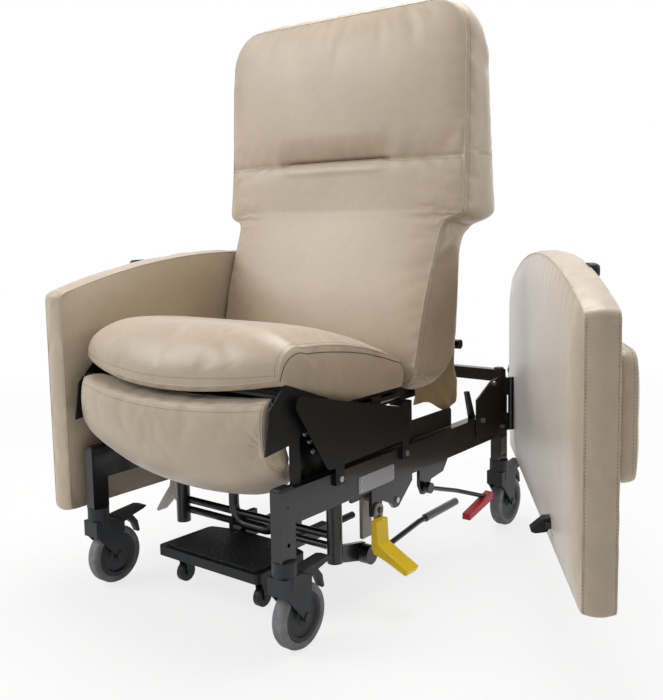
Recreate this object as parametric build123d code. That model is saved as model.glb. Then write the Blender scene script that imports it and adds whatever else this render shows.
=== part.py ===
from build123d import *
import math
import os

# Clinical recliner with swing-away arms, a raised legrest, a reclining back and four braked casters.
# Seen from in front of the chair, right is +X, the front is -Y and up is +Z.
# The origin lies on the floor, midway between the four caster posts. Lengths are in millimetres.

# Fits
running_clearance = 0.08
rest_gap = 0.3
side_gap = 0.5
overrun = 2.0

# Casters
wheel_diameter = 125.0
tyre_width = 30.0
tyre_rounding = 7.0
tyre_depth = 15.5
hub_width = 26.0
hub_rim_width = 7.0
hub_dish_depth = 4.0
hub_boss_diameter = 26.0
axle_diameter = 10.0
axle_head_diameter = 18.0
axle_head_length = 2.5
caster_trail = 37.0
fork_crown_height = 22.5
fork_leg_gap = 2.0
fork_leg_thickness = 4.5
fork_crown_gap = 2.5
fork_depth = 75.0
fork_boss_diameter = 20.0
stem_diameter = 20.0
stem_length = 22.0
collar_diameter = 46.0
collar_height = 27.7
plug_height = 24.0
plug_clearance = 0.2
pedal_pivot_back = 38.0
pedal_pivot_drop = 11.0
pedal_pin_diameter = 6.0
pedal_root_diameter = 18.0
pedal_length = 84.0
pedal_width = 28.0
pedal_claw_length = 66.0
pedal_claw_width = 16.0

# Side frames
frame_width = 558.0
tube_width = 25.0
tube_wall = 2.0
rail_length = 786.0
rail_height = 65.0
post_depth = 40.0
post_below_rail = 65.0
rear_post_rise = 70.0
cross_tube_height = 30.0
cross_tube_depth = 25.0
bolt_hole_diameter = 8.0
bolt_hole_rise = 30.0
pin_hole_diameter = 4.0
pin_hole_rise = 99.0
cap_height = 5.0
cap_rounding = 3.0
cap_plug_length = 10.0
socket_cap_diameter = 24.0
socket_cap_height = 4.0
stay_inset = 4.0
stay_thickness = 8.0
stay_foot_y = 272.0
stay_length = 42.0
stay_height = 68.0

# Seat support frame
bar_width = 20.0
bar_height = 30.0
bar_above_rail = 86.0
bar_inset = 16.0
bar_front_y = -300.0
bar_rear_y = 190.0
cross_bar_height = 20.0
cross_bar_depth = 26.0
upright_thickness = 8.0
upright_lap = 38.0
upright_depth = 34.0
front_guide_y = -245.0
rear_guide_y = -105.0
rear_upright_y = 15.0
guide_height = 24.0
guide_width = 19.0
slide_rod_diameter = 14.0
slide_rod_rise = 18.0
slide_rod_offset = 6.0
slide_rod_length = 325.0

# Seat
pan_thickness = 10.0
pan_overlap = 1.0
seat_overhang = 12.0
seat_rear_y = -28.0
seat_bend_y = -232.0
pan_front_y = -385.0
seat_front_y = -424.0
seat_lip_rise = 67.0
seat_lip_drop = 24.0
seat_bow = 45.0
seat_nose_length = 62.0
seat_nose_height = 124.0
seat_rear_height = 68.0
seat_crown = 36.0
seat_crown_power = 6
seat_middle_share = 0.33
seat_drawn_in = 9.0
seat_side_round = 14.0
seat_round_share = 0.4
seat_nose_shares = (0.12, 0.64)
seat_rear_bulge_shares = (0.1, 0.14)
seat_ring_shares = (0.91, 0.8, 0.55, 0.28, 0)

# Legrest
legrest_pivot_y = -422.0
legrest_pivot_above_rail = 154.0
legrest_pin_diameter = 12.0
legrest_overhang = 3.0
legrest_lead = 25.0
legrest_top_rise = 8.0
legrest_top_dip = 14.0
legrest_bow = 40.0
legrest_thickness = 60.0
legrest_knee_drop = 88.0
legrest_height = 233.0
legrest_sweep = 147.0
legrest_rim = 34.0
legrest_bulge_share = 0.12
legrest_board_thickness = 10.0
legrest_board_inset = 13.0
legrest_board_height = 74.0
legrest_board_drop = 12.0
legrest_arm_thickness = 4.0
carrier_thickness = 4.0
carrier_reach = 104.0
carrier_block_depth = 22.0

# Guards beside the seat
gusset_thickness = 4.0
gusset_offset = 12.0
gusset_length = 177.0
gusset_height = 119.0
gusset_rear_y = -282.0
gusset_rise = 70.0
guard_thickness = 3.0
guard_spacer = 4.0
guard_length = 398.0
guard_height = 161.0
guard_front_y = -411.0
guard_rise = 12.0
guard_rounding = 16.0
guard_tab_width = 26.0
guard_tab_drop = 35.0
guard_tab_shares = (0.36, 0.93)

# Small parts on the rail
plate_length = 124.0
plate_height = 34.0
plate_thickness = 1.5
plate_rear_y = -78.0
plate_rise = 4.0
label_length = 27.0
label_height = 44.0
label_thickness = 0.6
label_rise = 14.0
bolt_head_diameter = 12.0
bolt_head_height = 4.0
rivet_diameter = 5.0
rivet_height = 1.5
rivet_inset = 8.0

# Arms
arm_gap = 24.0
arm_thickness = 56.0
arm_front_reach = 36.0
arm_rear_reach = 171.0
arm_below_rail = 72.0
arm_front_rise = 325.0
arm_crest_share = 0.504
arm_crest_rise = 396.0
arm_rear_rise = 295.0
arm_rear_corner = 90.0
arm_front_corner = 12.0
arm_edge_inset = 5.0
arm_open_angle = 32.5
hinge_gap = 12.0
hinge_behind_post = 17.0
hinge_pin_diameter = 8.0
hinge_barrel_diameter = 14.0
hinge_rise = 12.0
hinge_height = 133.0
knuckle_gap = 1.0
hinge_plate_thickness = 4.0
hinge_plate_length = 148.0
hinge_plate_height = 148.0
hinge_plate_rise = 6.0
leaf_length = 148.0
leaf_thickness = 4.0
leaf_height = 148.0
leaf_rise = 2.0
leaf_screw_share = 0.93
leaf_screw_shares = (0.08, 0.5, 0.92)
arm_pad_inset = 14.0
arm_pad_length = 320.0
arm_pad_rise = 206.0
arm_pad_height = 210.0
arm_pad_thickness = 28.0
arm_pad_corner = 34.0
arm_pad_crown = 13.0
lever_lead = 6.0
lever_pivot_rise = 466.0
lever_pivot_diameter = 10.0
lever_thickness = 5.0
lever_boss_diameter = 24.0
lever_height = 64.0
lever_grip_length = 44.0
lever_grip_height = 26.0
lever_grip_width = 18.0
lever_grip_edge_share = 0.7
latch_lead = 48.0
latch_plate_length = 42.0
latch_plate_height = 39.0
latch_plate_thickness = 3.0
latch_rise = 37.0
latch_reach = 41.0
latch_width = 22.0
latch_height = 31.0
latch_pin_diameter = 6.0
latch_pin_share = 0.55
latch_ear_thickness = 3.0
keeper_length = 32.0
keeper_height = 18.0
keeper_thickness = 7.0

# Back
back_pivot_y = 150.0
back_pivot_above_bar = 15.0
back_pin_diameter = 16.0
back_bottom_above_rail = 122.0
back_height = 841.0
back_overhang = 9.0
wing_flare = 60.0
back_front_y = -5.0
back_depth = 250.0
back_crown = 26.0
back_corner = 26.0
back_corner_share = 0.45
back_rear_share = 0.7
seam_share = 0.589
seam_half_height = 9.0
panel_thickness = 10.0
panel_overhang = 8.0
panel_corner = 24.0
panel_height = 214.0
panel_above_rail = 172.0
back_arm_thickness = 5.0
back_arm_gap = 1.5
back_arm_boss = 30.0
back_tube_diameter = 20.0
back_tube_shares = (0.35, 0.9)
knob_y = 218.0
knob_above_rail = 186.0
knob_diameter = 22.0
knob_length = 12.0
knob_shaft_diameter = 8.0
knob_shaft_length = 12.0
skirt_thickness = 1.6
skirt_fold = 2.6
skirt_pitch = 34.0
skirt_front_y = 38.0
skirt_rear_y = 246.0
skirt_height = 144.0
skirt_margin = 1.2
skirt_rear_shares = (0.1, 0.98)

# Lower frame and footplate
lower_tube_diameter = 32.0
lower_tube_offset = 4.0
lower_tube_y = -208.0
lower_tube_low_z = 98.0
hanger_half_gap = 66.0
hanger_y = -200.0
hanger_diameter = 23.0
hanger_low_z = 125.0
hanger_bend = 42.0
tie_rod_diameter = 16.0
upper_tie_z = 148.0
sleeve_width = 24.0
sleeve_height = 24.0
sleeve_front_y = -178.0
sleeve_length = 138.0
sleeve_link_width = 12.0
foot_slide_diameter = 16.0
foot_slide_length = 246.0
footplate_low_z = 80.0
footplate_thickness = 20.0
footplate_front_y = -355.0
footplate_depth = 170.0
footplate_half_width = 146.0
footplate_corner = 24.0
tread_thickness = 3.0
tread_margin = 12.0
foot_wheel_diameter = 42.0
foot_wheel_width = 14.0
foot_wheel_half_gap = 112.0
foot_wheel_y = -307.0
foot_wheel_lift = 14.0
foot_axle_diameter = 6.0
foot_bracket_thickness = 3.0
foot_bracket_gap = 1.0
foot_bracket_depth = 24.0

# Pedals and levers
ear_thickness = 8.0
ear_inset = 4.0
ear_share = 0.585
first_hanger_y = -136.0
first_hanger_length = 149.0
second_hanger_y = 43.0
second_hanger_length = 122.0
hanger_plate_drop = 65.0
pedal_bracket_y = -133.0
pedal_bracket_depth = 36.0
pedal_bracket_drop = 57.0
lever_pin_diameter = 8.0
lever_pin_drop = 45.0
lever_pin_inset = 3.0
pedal_boss_diameter = 27.0
yellow_lever_thickness = 6.0
yellow_lever_drop = 36.0
yellow_pad_reach = 88.0
yellow_pad_drop = 98.0
yellow_width = 40.0
yellow_front_share = 0.8
taupe_lever_y = -165.0
taupe_lever_width = 30.0
taupe_lever_height = 94.0
taupe_lever_reach = 84.0
link_bar_width = 32.0
link_bar_thickness = 8.0
link_bar_inset = 20.0
link_bar_y = -123.0
link_bar_height = 92.0
foot_hub_inset = 22.0
foot_hub_y = -126.0
foot_hub_z = 95.0
foot_hub_diameter = 40.0
foot_hub_width = 24.0
foot_shaft_diameter = 14.0
foot_bracket_plate_thickness = 10.0
foot_rod_diameter = 12.0
foot_rod_length = 351.0
foot_rod_rise = 16.0
foot_rod_bend = 60.0
foot_sleeve_share = 0.9
foot_sleeve_diameter = 18.0
red_bar_diameter = 10.0
red_boss_width = 13.0
red_pivot_y = 62.0
red_pivot_drop = 49.0
red_pivot_diameter = 10.0
red_pivot_boss = 24.0
red_end_reach = 21.0
red_end_y = 299.0
red_end_z = 121.0
red_pad_length = 112.0
red_pad_drop = 22.0
red_pad_width = 20.0
red_pad_thickness = 18.0

# Places worked out from the sizes above
wheel_radius = wheel_diameter / 2
hub_diameter = wheel_diameter - 2 * tyre_depth
fork_height = wheel_diameter + fork_crown_gap + fork_crown_height
axle_z = wheel_radius
side_outer_x = frame_width / 2
side_inner_x = side_outer_x - tube_width
post_x = side_outer_x - tube_width / 2
post_y = rail_length / 2 + post_depth / 2
collar_low_z = fork_height + rest_gap
post_bottom_z = collar_low_z + collar_height
rail_bottom_z = post_bottom_z + post_below_rail
rail_top_z = rail_bottom_z + rail_height
rear_post_top_z = rail_top_z + rear_post_rise
cross_tube_top_z = rear_post_top_z + cross_tube_height
bar_outer_x = side_inner_x - bar_inset
bar_inner_x = bar_outer_x - bar_width
bar_bottom_z = rail_top_z + bar_above_rail
bar_top_z = bar_bottom_z + bar_height
pan_top_z = bar_top_z + pan_thickness
back_pivot_z = bar_bottom_z + back_pivot_above_bar
legrest_pivot_z = rail_top_z + legrest_pivot_above_rail
legrest_front_y = legrest_pivot_y - legrest_lead
legrest_rear_y = legrest_front_y + legrest_thickness
slide_rod_x = side_inner_x - slide_rod_offset
slide_rod_z = bar_bottom_z + slide_rod_rise
pan_half_width = side_inner_x + pan_overlap
seat_half_width = side_inner_x + seat_overhang
legrest_half_width = side_inner_x + legrest_overhang
legrest_board_half_width = legrest_half_width - legrest_board_inset
legrest_arm_x = legrest_half_width + side_gap
carrier_x = legrest_arm_x + legrest_arm_thickness + side_gap
gusset_x = side_outer_x - gusset_offset
hinge_x = side_outer_x + hinge_gap
hinge_y = post_y + hinge_behind_post
arm_inner_x = side_outer_x + arm_gap
arm_outer_x = arm_inner_x + arm_thickness
arm_front_y = -post_y - arm_front_reach
arm_rear_y = hinge_y + arm_rear_reach
arm_crest_y = arm_front_y + arm_crest_share * (arm_rear_y - arm_front_y)
arm_pad_front_y = arm_front_y + arm_pad_inset
latch_y = first_hanger_y - latch_lead
lever_y = latch_y - lever_lead
arm_bottom_z = rail_bottom_z - arm_below_rail
arm_front_z = rail_top_z + arm_front_rise
arm_crest_z = rail_top_z + arm_crest_rise
arm_rear_z = rail_top_z + arm_rear_rise
arm_pad_low_z = arm_bottom_z + arm_pad_rise
lever_pivot_z = arm_bottom_z + lever_pivot_rise
latch_low_z = arm_bottom_z + latch_rise
hinge_low_z = rail_bottom_z + hinge_rise
hinge_high_z = hinge_low_z + hinge_height
hinge_plate_low_z = rail_bottom_z + hinge_plate_rise
leaf_low_z = rail_bottom_z + leaf_rise
back_half_width = side_outer_x + back_overhang
panel_half_width = side_inner_x + panel_overhang
lower_tube_half_gap = bar_inner_x + lower_tube_offset
link_bar_x = side_inner_x - link_bar_inset
foot_hub_x = side_inner_x - foot_hub_inset
red_end_x = side_outer_x + red_end_reach
footplate_top_z = footplate_low_z + footplate_thickness
foot_axle_z = foot_wheel_lift + foot_wheel_diameter / 2
foot_slide_z = footplate_low_z + sleeve_height / 2


def block(x_low, x_high, y_low, y_high, z_low, z_high):
    """A box between two corners."""
    size = (abs(x_high - x_low), abs(y_high - y_low), abs(z_high - z_low))
    middle = ((x_low + x_high) / 2, (y_low + y_high) / 2, (z_low + z_high) / 2)
    return Pos(*middle) * Box(*size)


def rod_x(x_low, x_high, y, z, diameter):
    """A round bar along X."""
    return Pos((x_low + x_high) / 2, y, z) * Rot(0, 90, 0) * Cylinder(diameter / 2, abs(x_high - x_low))


def rod_y(x, y_low, y_high, z, diameter):
    """A round bar along Y."""
    return Pos(x, (y_low + y_high) / 2, z) * Rot(90, 0, 0) * Cylinder(diameter / 2, abs(y_high - y_low))


def rod_z(x, y, z_low, z_high, diameter):
    """A round bar along Z."""
    return Pos(x, y, (z_low + z_high) / 2) * Cylinder(diameter / 2, abs(z_high - z_low))


def outline_face(corners, rounding):
    """A flat face inside straight lines, with its corners rounded if a radius is given."""
    if rounding:
        return make_face(FilletPolyline(*corners, radius=rounding, close=True))
    return make_face(Polyline(*corners, close=True))


def plate_x(x_low, x_high, points, rounding=0):
    """A plate square to X with an outline given in Y and Z."""
    corners = [(x_low, y, z) for y, z in points]
    return extrude(outline_face(corners, rounding), amount=x_high - x_low, dir=(1, 0, 0))


def plate_y(y_low, y_high, points, rounding=0):
    """A plate square to Y with an outline given in X and Z."""
    corners = [(x, y_low, z) for x, z in points]
    return extrude(outline_face(corners, rounding), amount=y_high - y_low, dir=(0, 1, 0))


def plate_z(z_low, z_high, points, rounding=0):
    """A plate square to Z with an outline given in X and Y."""
    corners = [(x, y, z_low) for x, y in points]
    return extrude(outline_face(corners, rounding), amount=z_high - z_low, dir=(0, 0, 1))


def placed(shares, first, length, second, height):
    """Outline points from shares of a length and a height, measured from one corner."""
    return [(first + a * length, second + b * height) for a, b in shares]


def bent_rod(points, diameter, bend):
    """A round rod along straight runs joined by bends."""
    route = FilletPolyline(*points, radius=bend)
    start = Plane(origin=route @ 0, z_dir=route % 0)
    return sweep(start * Circle(diameter / 2), path=route)


def mirrored(shape):
    """The same shape on the other side of the chair."""
    return mirror(shape, about=Plane.YZ)


def both_sides(shape):
    """A shape and its mirror image, as separate solids of one node."""
    return Compound(children=[Compound(shape.solids()), Compound(mirrored(shape).solids())])


def closed_wire(steps):
    """A wire through points, where a step with a middle point is an arc to the next point."""
    edges = []
    for index, (start, middle) in enumerate(steps):
        end = steps[(index + 1) % len(steps)][0]
        if middle is None:
            edges.append(Edge.make_line(start, end))
        else:
            edges.append(Edge.make_three_point_arc(start, middle, end))
    return Wire(edges)


def ruled(wires):
    """A solid skinned over closed wires that have as many edges each."""
    return Solid.make_loft(wires, ruled=True)


def corner_middle(corner, first_sign, second_sign, radius):
    """The middle of a quarter circle that rounds a corner, in two coordinates."""
    cut = radius * (1 - math.sqrt(0.5))
    return corner[0] + first_sign * cut, corner[1] + second_sign * cut


def rounded_ring(low, high, radius, lift):
    """A rounded rectangle between two corners, where lift makes a 3-D point of two coordinates."""
    (a0, b0), (a1, b1) = low, high
    steps = [
        ((a0 + radius, b0), None),
        ((a1 - radius, b0), corner_middle((a1, b0), -1, 1, radius)),
        ((a1, b0 + radius), None),
        ((a1, b1 - radius), corner_middle((a1, b1), -1, -1, radius)),
        ((a1 - radius, b1), None),
        ((a0 + radius, b1), corner_middle((a0, b1), 1, -1, radius)),
        ((a0, b1 - radius), None),
        ((a0, b0 + radius), corner_middle((a0, b0), 1, 1, radius)),
    ]
    return closed_wire([(lift(*point), middle and lift(*middle)) for point, middle in steps])


def revolved_x(profile, y, z):
    """A turned part about an axis along X, from points in X and radius."""
    corners = [(x, y, z + radius) for x, radius in profile]
    face = make_face(Polyline(*corners, close=True))
    return revolve(face, axis=Axis((0, y, z), (1, 0, 0)), revolution_arc=360)


# Casters

def at_post(shape, front, right):
    """A caster piece moved from the origin to the middle of a post."""
    return Pos(post_x if right else -post_x, -post_y if front else post_y, 0) * shape


def caster_tyre():
    """A grey tyre with rounded shoulders round the hub."""
    half = tyre_width / 2
    inner = hub_diameter / 2
    slope = tyre_rounding / 3
    profile = [
        (-half + slope, inner),
        (-half, inner + slope),
        (-half, wheel_radius - tyre_rounding),
        (-half + slope, wheel_radius - slope),
        (-half + tyre_rounding, wheel_radius),
        (half - tyre_rounding, wheel_radius),
        (half - slope, wheel_radius - slope),
        (half, wheel_radius - tyre_rounding),
        (half, inner + slope),
        (half - slope, inner),
    ]
    return revolved_x(profile, caster_trail, axle_z)


def caster_hub():
    """A dished plastic hub with a bored boss for the axle."""
    half = hub_width / 2
    rim = hub_diameter / 2
    boss = hub_boss_diameter / 2
    face = half - hub_dish_depth
    bore = axle_diameter / 2 + running_clearance
    profile = [
        (-half, bore),
        (-half, boss),
        (-face, boss + hub_dish_depth),
        (-face, rim - hub_rim_width - hub_dish_depth),
        (-half, rim - hub_rim_width),
        (-half, rim),
        (half, rim),
        (half, rim - hub_rim_width),
        (face, rim - hub_rim_width - hub_dish_depth),
        (face, boss + hub_dish_depth),
        (half, boss),
        (half, bore),
    ]
    return revolved_x(profile, caster_trail, axle_z)


def caster_fork():
    """The swivel fork with its crown, two legs, stem and axle."""
    inner = tyre_width / 2 + fork_leg_gap
    outer = inner + fork_leg_thickness
    front = -collar_diameter / 2
    crown_low = wheel_diameter + fork_crown_gap
    crown_shares = [(0, 1), (0.62, 1), (0.65, 0.55), (0.65, 0), (0.26, 0), (0, -0.5)]
    crown_points = placed(crown_shares, front, fork_depth, crown_low, fork_height - crown_low)
    crown = plate_x(-outer, outer, crown_points)
    leg_shares = [(0, 1), (0.62, 1), (1, 0.86), (1, 0.74), (0.92, 0.1), (0.92, 0), (0.68, 0), (0.1, 0.57),
                  (0, 0.62)]
    leg_points = placed(leg_shares, front, fork_depth, axle_z, fork_height - axle_z)
    boss = rod_x(-outer, outer, caster_trail, axle_z, fork_boss_diameter)
    legs = plate_x(-outer, outer, leg_points) + boss
    legs -= block(-inner, inner, front - overrun, front + fork_depth + overrun, 0, fork_height + overrun)
    stem = rod_z(0, 0, fork_height - overrun, fork_height + stem_length, stem_diameter)
    axle = rod_x(-outer, outer, caster_trail, axle_z, axle_diameter)
    head_x = outer + axle_head_length
    heads = rod_x(-head_x, head_x, caster_trail, axle_z, axle_head_diameter)
    heads -= rod_x(-inner, inner, caster_trail, axle_z, wheel_diameter)
    pin_bore = rod_x(-outer - overrun, outer + overrun, pedal_pivot_back, fork_height - pedal_pivot_drop,
                     pedal_pin_diameter + 2 * running_clearance)
    round_top = rod_z(0, 0, crown_low, fork_height, collar_diameter)
    return crown + round_top + legs + stem + axle + heads - pin_bore


def brake_pedal():
    """The foot pedal behind the fork, with a flat toe to lock and a claw to release."""
    y = pedal_pivot_back
    z = fork_height - pedal_pivot_drop
    half = pedal_width / 2
    root_half = tyre_width / 2
    toe_shares = [(-0.07, 0.1), (0.02, 0.125), (0.28, 0.155), (0.82, 0.2), (1, 0.145), (0.9, 0.09),
                  (0.5, 0.0), (0.22, -0.1), (0.07, -0.11), (-0.05, -0.06)]
    toe = plate_x(-half, half, placed(toe_shares, y, pedal_length, z, pedal_length))
    claw_shares = [(0.42, 0.0), (0.72, -0.02), (0.93, -0.28), (1, -0.64), (0.92, -0.66), (0.78, -0.36),
                   (0.56, -0.16)]
    claw = plate_x(-pedal_claw_width / 2, pedal_claw_width / 2,
                   placed(claw_shares, y, pedal_claw_length, z, pedal_claw_length))
    root = rod_x(-root_half, root_half, y, z, pedal_root_diameter)
    outer = tyre_width / 2 + fork_leg_gap + fork_leg_thickness
    pin = rod_x(-outer, outer, y, z, pedal_pin_diameter)
    return toe + claw + root + pin


def caster_collar():
    """The fixed collar under a post, with its plug up inside the tube and a bore for the stem."""
    plug_x = tube_width / 2 - tube_wall - plug_clearance
    plug_y = post_depth / 2 - tube_wall - plug_clearance
    collar = rod_z(0, 0, collar_low_z, post_bottom_z, collar_diameter)
    plug = block(-plug_x, plug_x, -plug_y, plug_y, post_bottom_z - overrun, post_bottom_z + plug_height)
    bore = rod_z(0, 0, collar_low_z - overrun, fork_height + stem_length + overrun,
                 stem_diameter + 2 * running_clearance)
    return collar + plug - bore


# Side frames

def side_frame():
    """Rail and two posts of one side, welded box tube, with the stay that stops the back."""
    half = rail_length / 2
    outer = rail_length / 2 + post_depth
    rail = block(side_inner_x, side_outer_x, -half, half, rail_bottom_z, rail_top_z)
    front = block(side_inner_x, side_outer_x, -outer, -half, post_bottom_z, rail_top_z)
    rear = block(side_inner_x, side_outer_x, half, outer, post_bottom_z, rear_post_top_z)
    x_low = side_inner_x + tube_wall
    x_high = side_outer_x - tube_wall
    in_rail = block(x_low, x_high, -half - 2 * tube_wall, half + 2 * tube_wall,
                    rail_bottom_z + tube_wall, rail_top_z - tube_wall)
    in_front = block(x_low, x_high, -outer + tube_wall, -half - tube_wall, post_bottom_z - overrun,
                     rail_top_z + overrun)
    in_rear = block(x_low, x_high, half + tube_wall, outer - tube_wall, post_bottom_z - overrun,
                    rear_post_top_z - tube_wall)
    pin = rod_x(post_x, side_outer_x + overrun, -post_y, post_bottom_z + pin_hole_rise, pin_hole_diameter)
    stay_shares = [(0.48, 0), (1, 0), (0.32, 1), (0, 1)]
    stay_points = placed(stay_shares, stay_foot_y - stay_length / 2, stay_length, rail_top_z, stay_height)
    stay_low = side_inner_x + stay_inset
    stay = plate_x(stay_low, stay_low + stay_thickness, stay_points)
    return rail + front + rear - in_rail - in_front - in_rear - pin + stay


def accessory_bore():
    """The hole through a front post above the caster, for an accessory."""
    return rod_x(side_inner_x - overrun, side_outer_x + overrun, -post_y, post_bottom_z + bolt_hole_rise,
                 bolt_hole_diameter)


def post_caps():
    """Plastic caps: one on each front post, one plug in each end of the cross tube, two round ones."""
    outer = rail_length / 2 + post_depth
    half = rail_length / 2
    low = (side_inner_x, -outer)
    high = (side_outer_x, -half)
    inset_low = (side_inner_x + cap_rounding, -outer + cap_rounding)
    inset_high = (side_outer_x - cap_rounding, -half - cap_rounding)
    shoulder = rail_top_z + cap_height - cap_rounding
    cap = ruled([
        rounded_ring(low, high, cap_rounding, lambda x, y: (x, y, rail_top_z)),
        rounded_ring(low, high, cap_rounding, lambda x, y: (x, y, shoulder)),
        rounded_ring(inset_low, inset_high, cap_rounding / 2, lambda x, y: (x, y, rail_top_z + cap_height)),
    ])
    fit = tube_wall + plug_clearance
    cap += block(side_inner_x + fit, side_outer_x - fit, -outer + fit, -half - fit,
                 rail_top_z - cap_plug_length, rail_top_z + overrun)
    end_plug = block(side_outer_x - cap_plug_length, side_outer_x,
                     post_y - cross_tube_depth / 2 + fit, post_y + cross_tube_depth / 2 - fit,
                     rear_post_top_z + fit, cross_tube_top_z - fit)
    disc = rod_z(post_x, post_y, cross_tube_top_z, cross_tube_top_z + socket_cap_height, socket_cap_diameter)
    pieces = cap.solids() + end_plug.solids() + disc.solids()
    return both_sides(Compound(pieces))


def rear_cross_tube():
    """The high tube across the rear posts, open at its ends for the plugs."""
    y_low = post_y - cross_tube_depth / 2
    y_high = post_y + cross_tube_depth / 2
    tube = block(-side_outer_x, side_outer_x, y_low, y_high, rear_post_top_z, cross_tube_top_z)
    inside = block(-side_outer_x - overrun, side_outer_x + overrun, y_low + tube_wall, y_high - tube_wall,
                   rear_post_top_z + tube_wall, cross_tube_top_z - tube_wall)
    return tube - inside


# Seat frame and seat

def seat_upright(y, top_z):
    """A plate on the inner face of the rail that carries a side bar."""
    return block(side_inner_x - upright_thickness, side_inner_x, y - upright_depth / 2, y + upright_depth / 2,
                 rail_top_z - upright_lap, top_z)


def seat_support_side():
    """Side bar, uprights, guides for the legrest's slide rod and the boss of the back's pivot."""
    bar = block(bar_inner_x, bar_outer_x, bar_front_y, bar_rear_y, bar_bottom_z, bar_top_z)
    guide_low = slide_rod_z - guide_height / 2
    for y in (front_guide_y, rear_guide_y):
        bar += seat_upright(y, guide_low + overrun)
        bar += block(bar_outer_x - overrun, bar_outer_x + guide_width, y - upright_depth / 2,
                     y + upright_depth / 2, guide_low, guide_low + guide_height)
    foot_low = bar_bottom_z - cross_bar_height / 2
    bar += seat_upright(rear_upright_y, bar_bottom_z)
    half = upright_depth / 2
    bar += block(bar_inner_x, side_inner_x, rear_upright_y - half, rear_upright_y + half, foot_low,
                 bar_bottom_z)
    bore = slide_rod_diameter + 2 * running_clearance
    bar -= rod_y(slide_rod_x, front_guide_y - upright_depth, rear_guide_y + upright_depth, slide_rod_z, bore)
    bar -= rod_x(bar_inner_x - overrun, bar_outer_x + overrun, back_pivot_y, back_pivot_z, back_pin_diameter)
    return bar


def seat_support_frame():
    """Two side bars joined by cross bars, the deck that everything hangs from."""
    frame = seat_support_side()
    frame += mirrored(frame)
    middle_z = bar_bottom_z + bar_height / 2
    half = cross_bar_depth / 2
    for y in (bar_front_y + half, hanger_y, (hanger_y + bar_rear_y) / 2, bar_rear_y - half):
        frame += block(-bar_inner_x, bar_inner_x, y - half, y + half, middle_z - cross_bar_height / 2,
                       middle_z + cross_bar_height / 2)
    return frame


def slope_z(y):
    """Height of the seat's underside, flat at the back and rising to the lip from the bend on."""
    run = (seat_bend_y - y) / (seat_bend_y - seat_front_y)
    return pan_top_z + max(run, 0) * seat_lip_rise


def seat_pan():
    """The seat board, bent up along its front."""
    points = [
        (seat_rear_y - side_gap, bar_top_z),
        (seat_rear_y - side_gap, pan_top_z),
        (seat_bend_y, pan_top_z),
        (pan_front_y, slope_z(pan_front_y)),
        (pan_front_y, slope_z(pan_front_y) - pan_thickness),
        (seat_bend_y, bar_top_z),
    ]
    return plate_x(-pan_half_width, pan_half_width, points)


def seat_ring(x, drawn):
    """Section of the seat cushion square to X: flat base, waterfall front and crowned top."""
    share = (x / seat_half_width) ** 2
    fullness = 1 - abs(x / seat_half_width) ** seat_crown_power
    front = seat_front_y - seat_bow * (1 - share) + drawn
    lip = slope_z(seat_front_y) - seat_lip_drop * (1 - share) + drawn / 2
    top = pan_top_z + seat_nose_height + seat_crown * fullness - drawn
    rear_top = pan_top_z + seat_rear_height + seat_crown / 2 * fullness - drawn
    rear = seat_rear_y - drawn / 2
    nose_y = seat_front_y + seat_nose_length
    lip_y = front + seat_drawn_in / 2
    nose_out_share, nose_up_share = seat_nose_shares
    bulge_y_share, bulge_z_share = seat_rear_bulge_shares
    steps = [
        ((x, rear, pan_top_z), None),
        ((x, seat_bend_y, pan_top_z), None),
        ((x, pan_front_y, slope_z(pan_front_y)), None),
        ((x, lip_y, lip), (x, front + nose_out_share * (nose_y - front), lip + nose_up_share * (top - lip))),
        ((x, nose_y, top), (x, (nose_y + rear) / 2, (top + rear_top) / 2 + seat_middle_share * seat_crown)),
        ((x, rear - seat_round_share * seat_rear_height, rear_top),
         (x, rear - bulge_y_share * seat_rear_height, rear_top - bulge_z_share * seat_rear_height)),
        ((x, rear, rear_top - seat_round_share * seat_rear_height), None),
    ]
    return closed_wire(steps)


def seat_cushion():
    """The seat cushion, bowed in front, crowned along its middle and drawn in at its sides."""
    inner = seat_half_width - seat_side_round
    edge = seat_half_width - seat_side_round / 4
    places = [(seat_half_width, seat_drawn_in), (edge, seat_drawn_in / 3), (inner, 0)]
    places += [(inner * share, 0) for share in seat_ring_shares]
    rings = [seat_ring(-x, drawn) for x, drawn in places]
    rings += [seat_ring(x, drawn) for x, drawn in reversed(places[:-1])]
    return ruled(rings)


# Legrest

def legrest_ring(x, drop_share, sweep_share, drawn):
    """Section of the legrest pad square to X: upright face, swept-under lower front and flat back."""
    share = (x / legrest_half_width) ** 2
    front = legrest_front_y - legrest_bow * (1 - share) + drawn
    top = legrest_pivot_z + legrest_top_rise - legrest_top_dip * (1 - share) - drawn / 2
    knee = legrest_pivot_z + legrest_top_rise - legrest_knee_drop
    low = legrest_pivot_z + legrest_top_rise - legrest_height * drop_share
    toe_y = legrest_front_y + legrest_sweep * sweep_share
    heel_y = max(toe_y, legrest_rear_y) + legrest_rim / 4
    heel_z = low + legrest_rim * drop_share
    bulge = legrest_bulge_share * (toe_y - front)
    steps = [
        ((x, legrest_rear_y, top), (x, (front + legrest_rear_y) / 2, top + legrest_top_rise / 2)),
        ((x, front + legrest_top_rise, top), (x, front + legrest_top_rise / 4, top - legrest_top_rise / 2)),
        ((x, front, top - 2 * legrest_top_rise), None),
        ((x, front, knee), (x, (front + toe_y) / 2 - bulge, (knee + low) / 2 - bulge)),
        ((x, toe_y, low), (x, toe_y + legrest_rim / 3, low + legrest_rim * drop_share / 4)),
        ((x, heel_y, heel_z), None),
        ((x, legrest_rear_y, knee), None),
    ]
    return closed_wire(steps)


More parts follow.
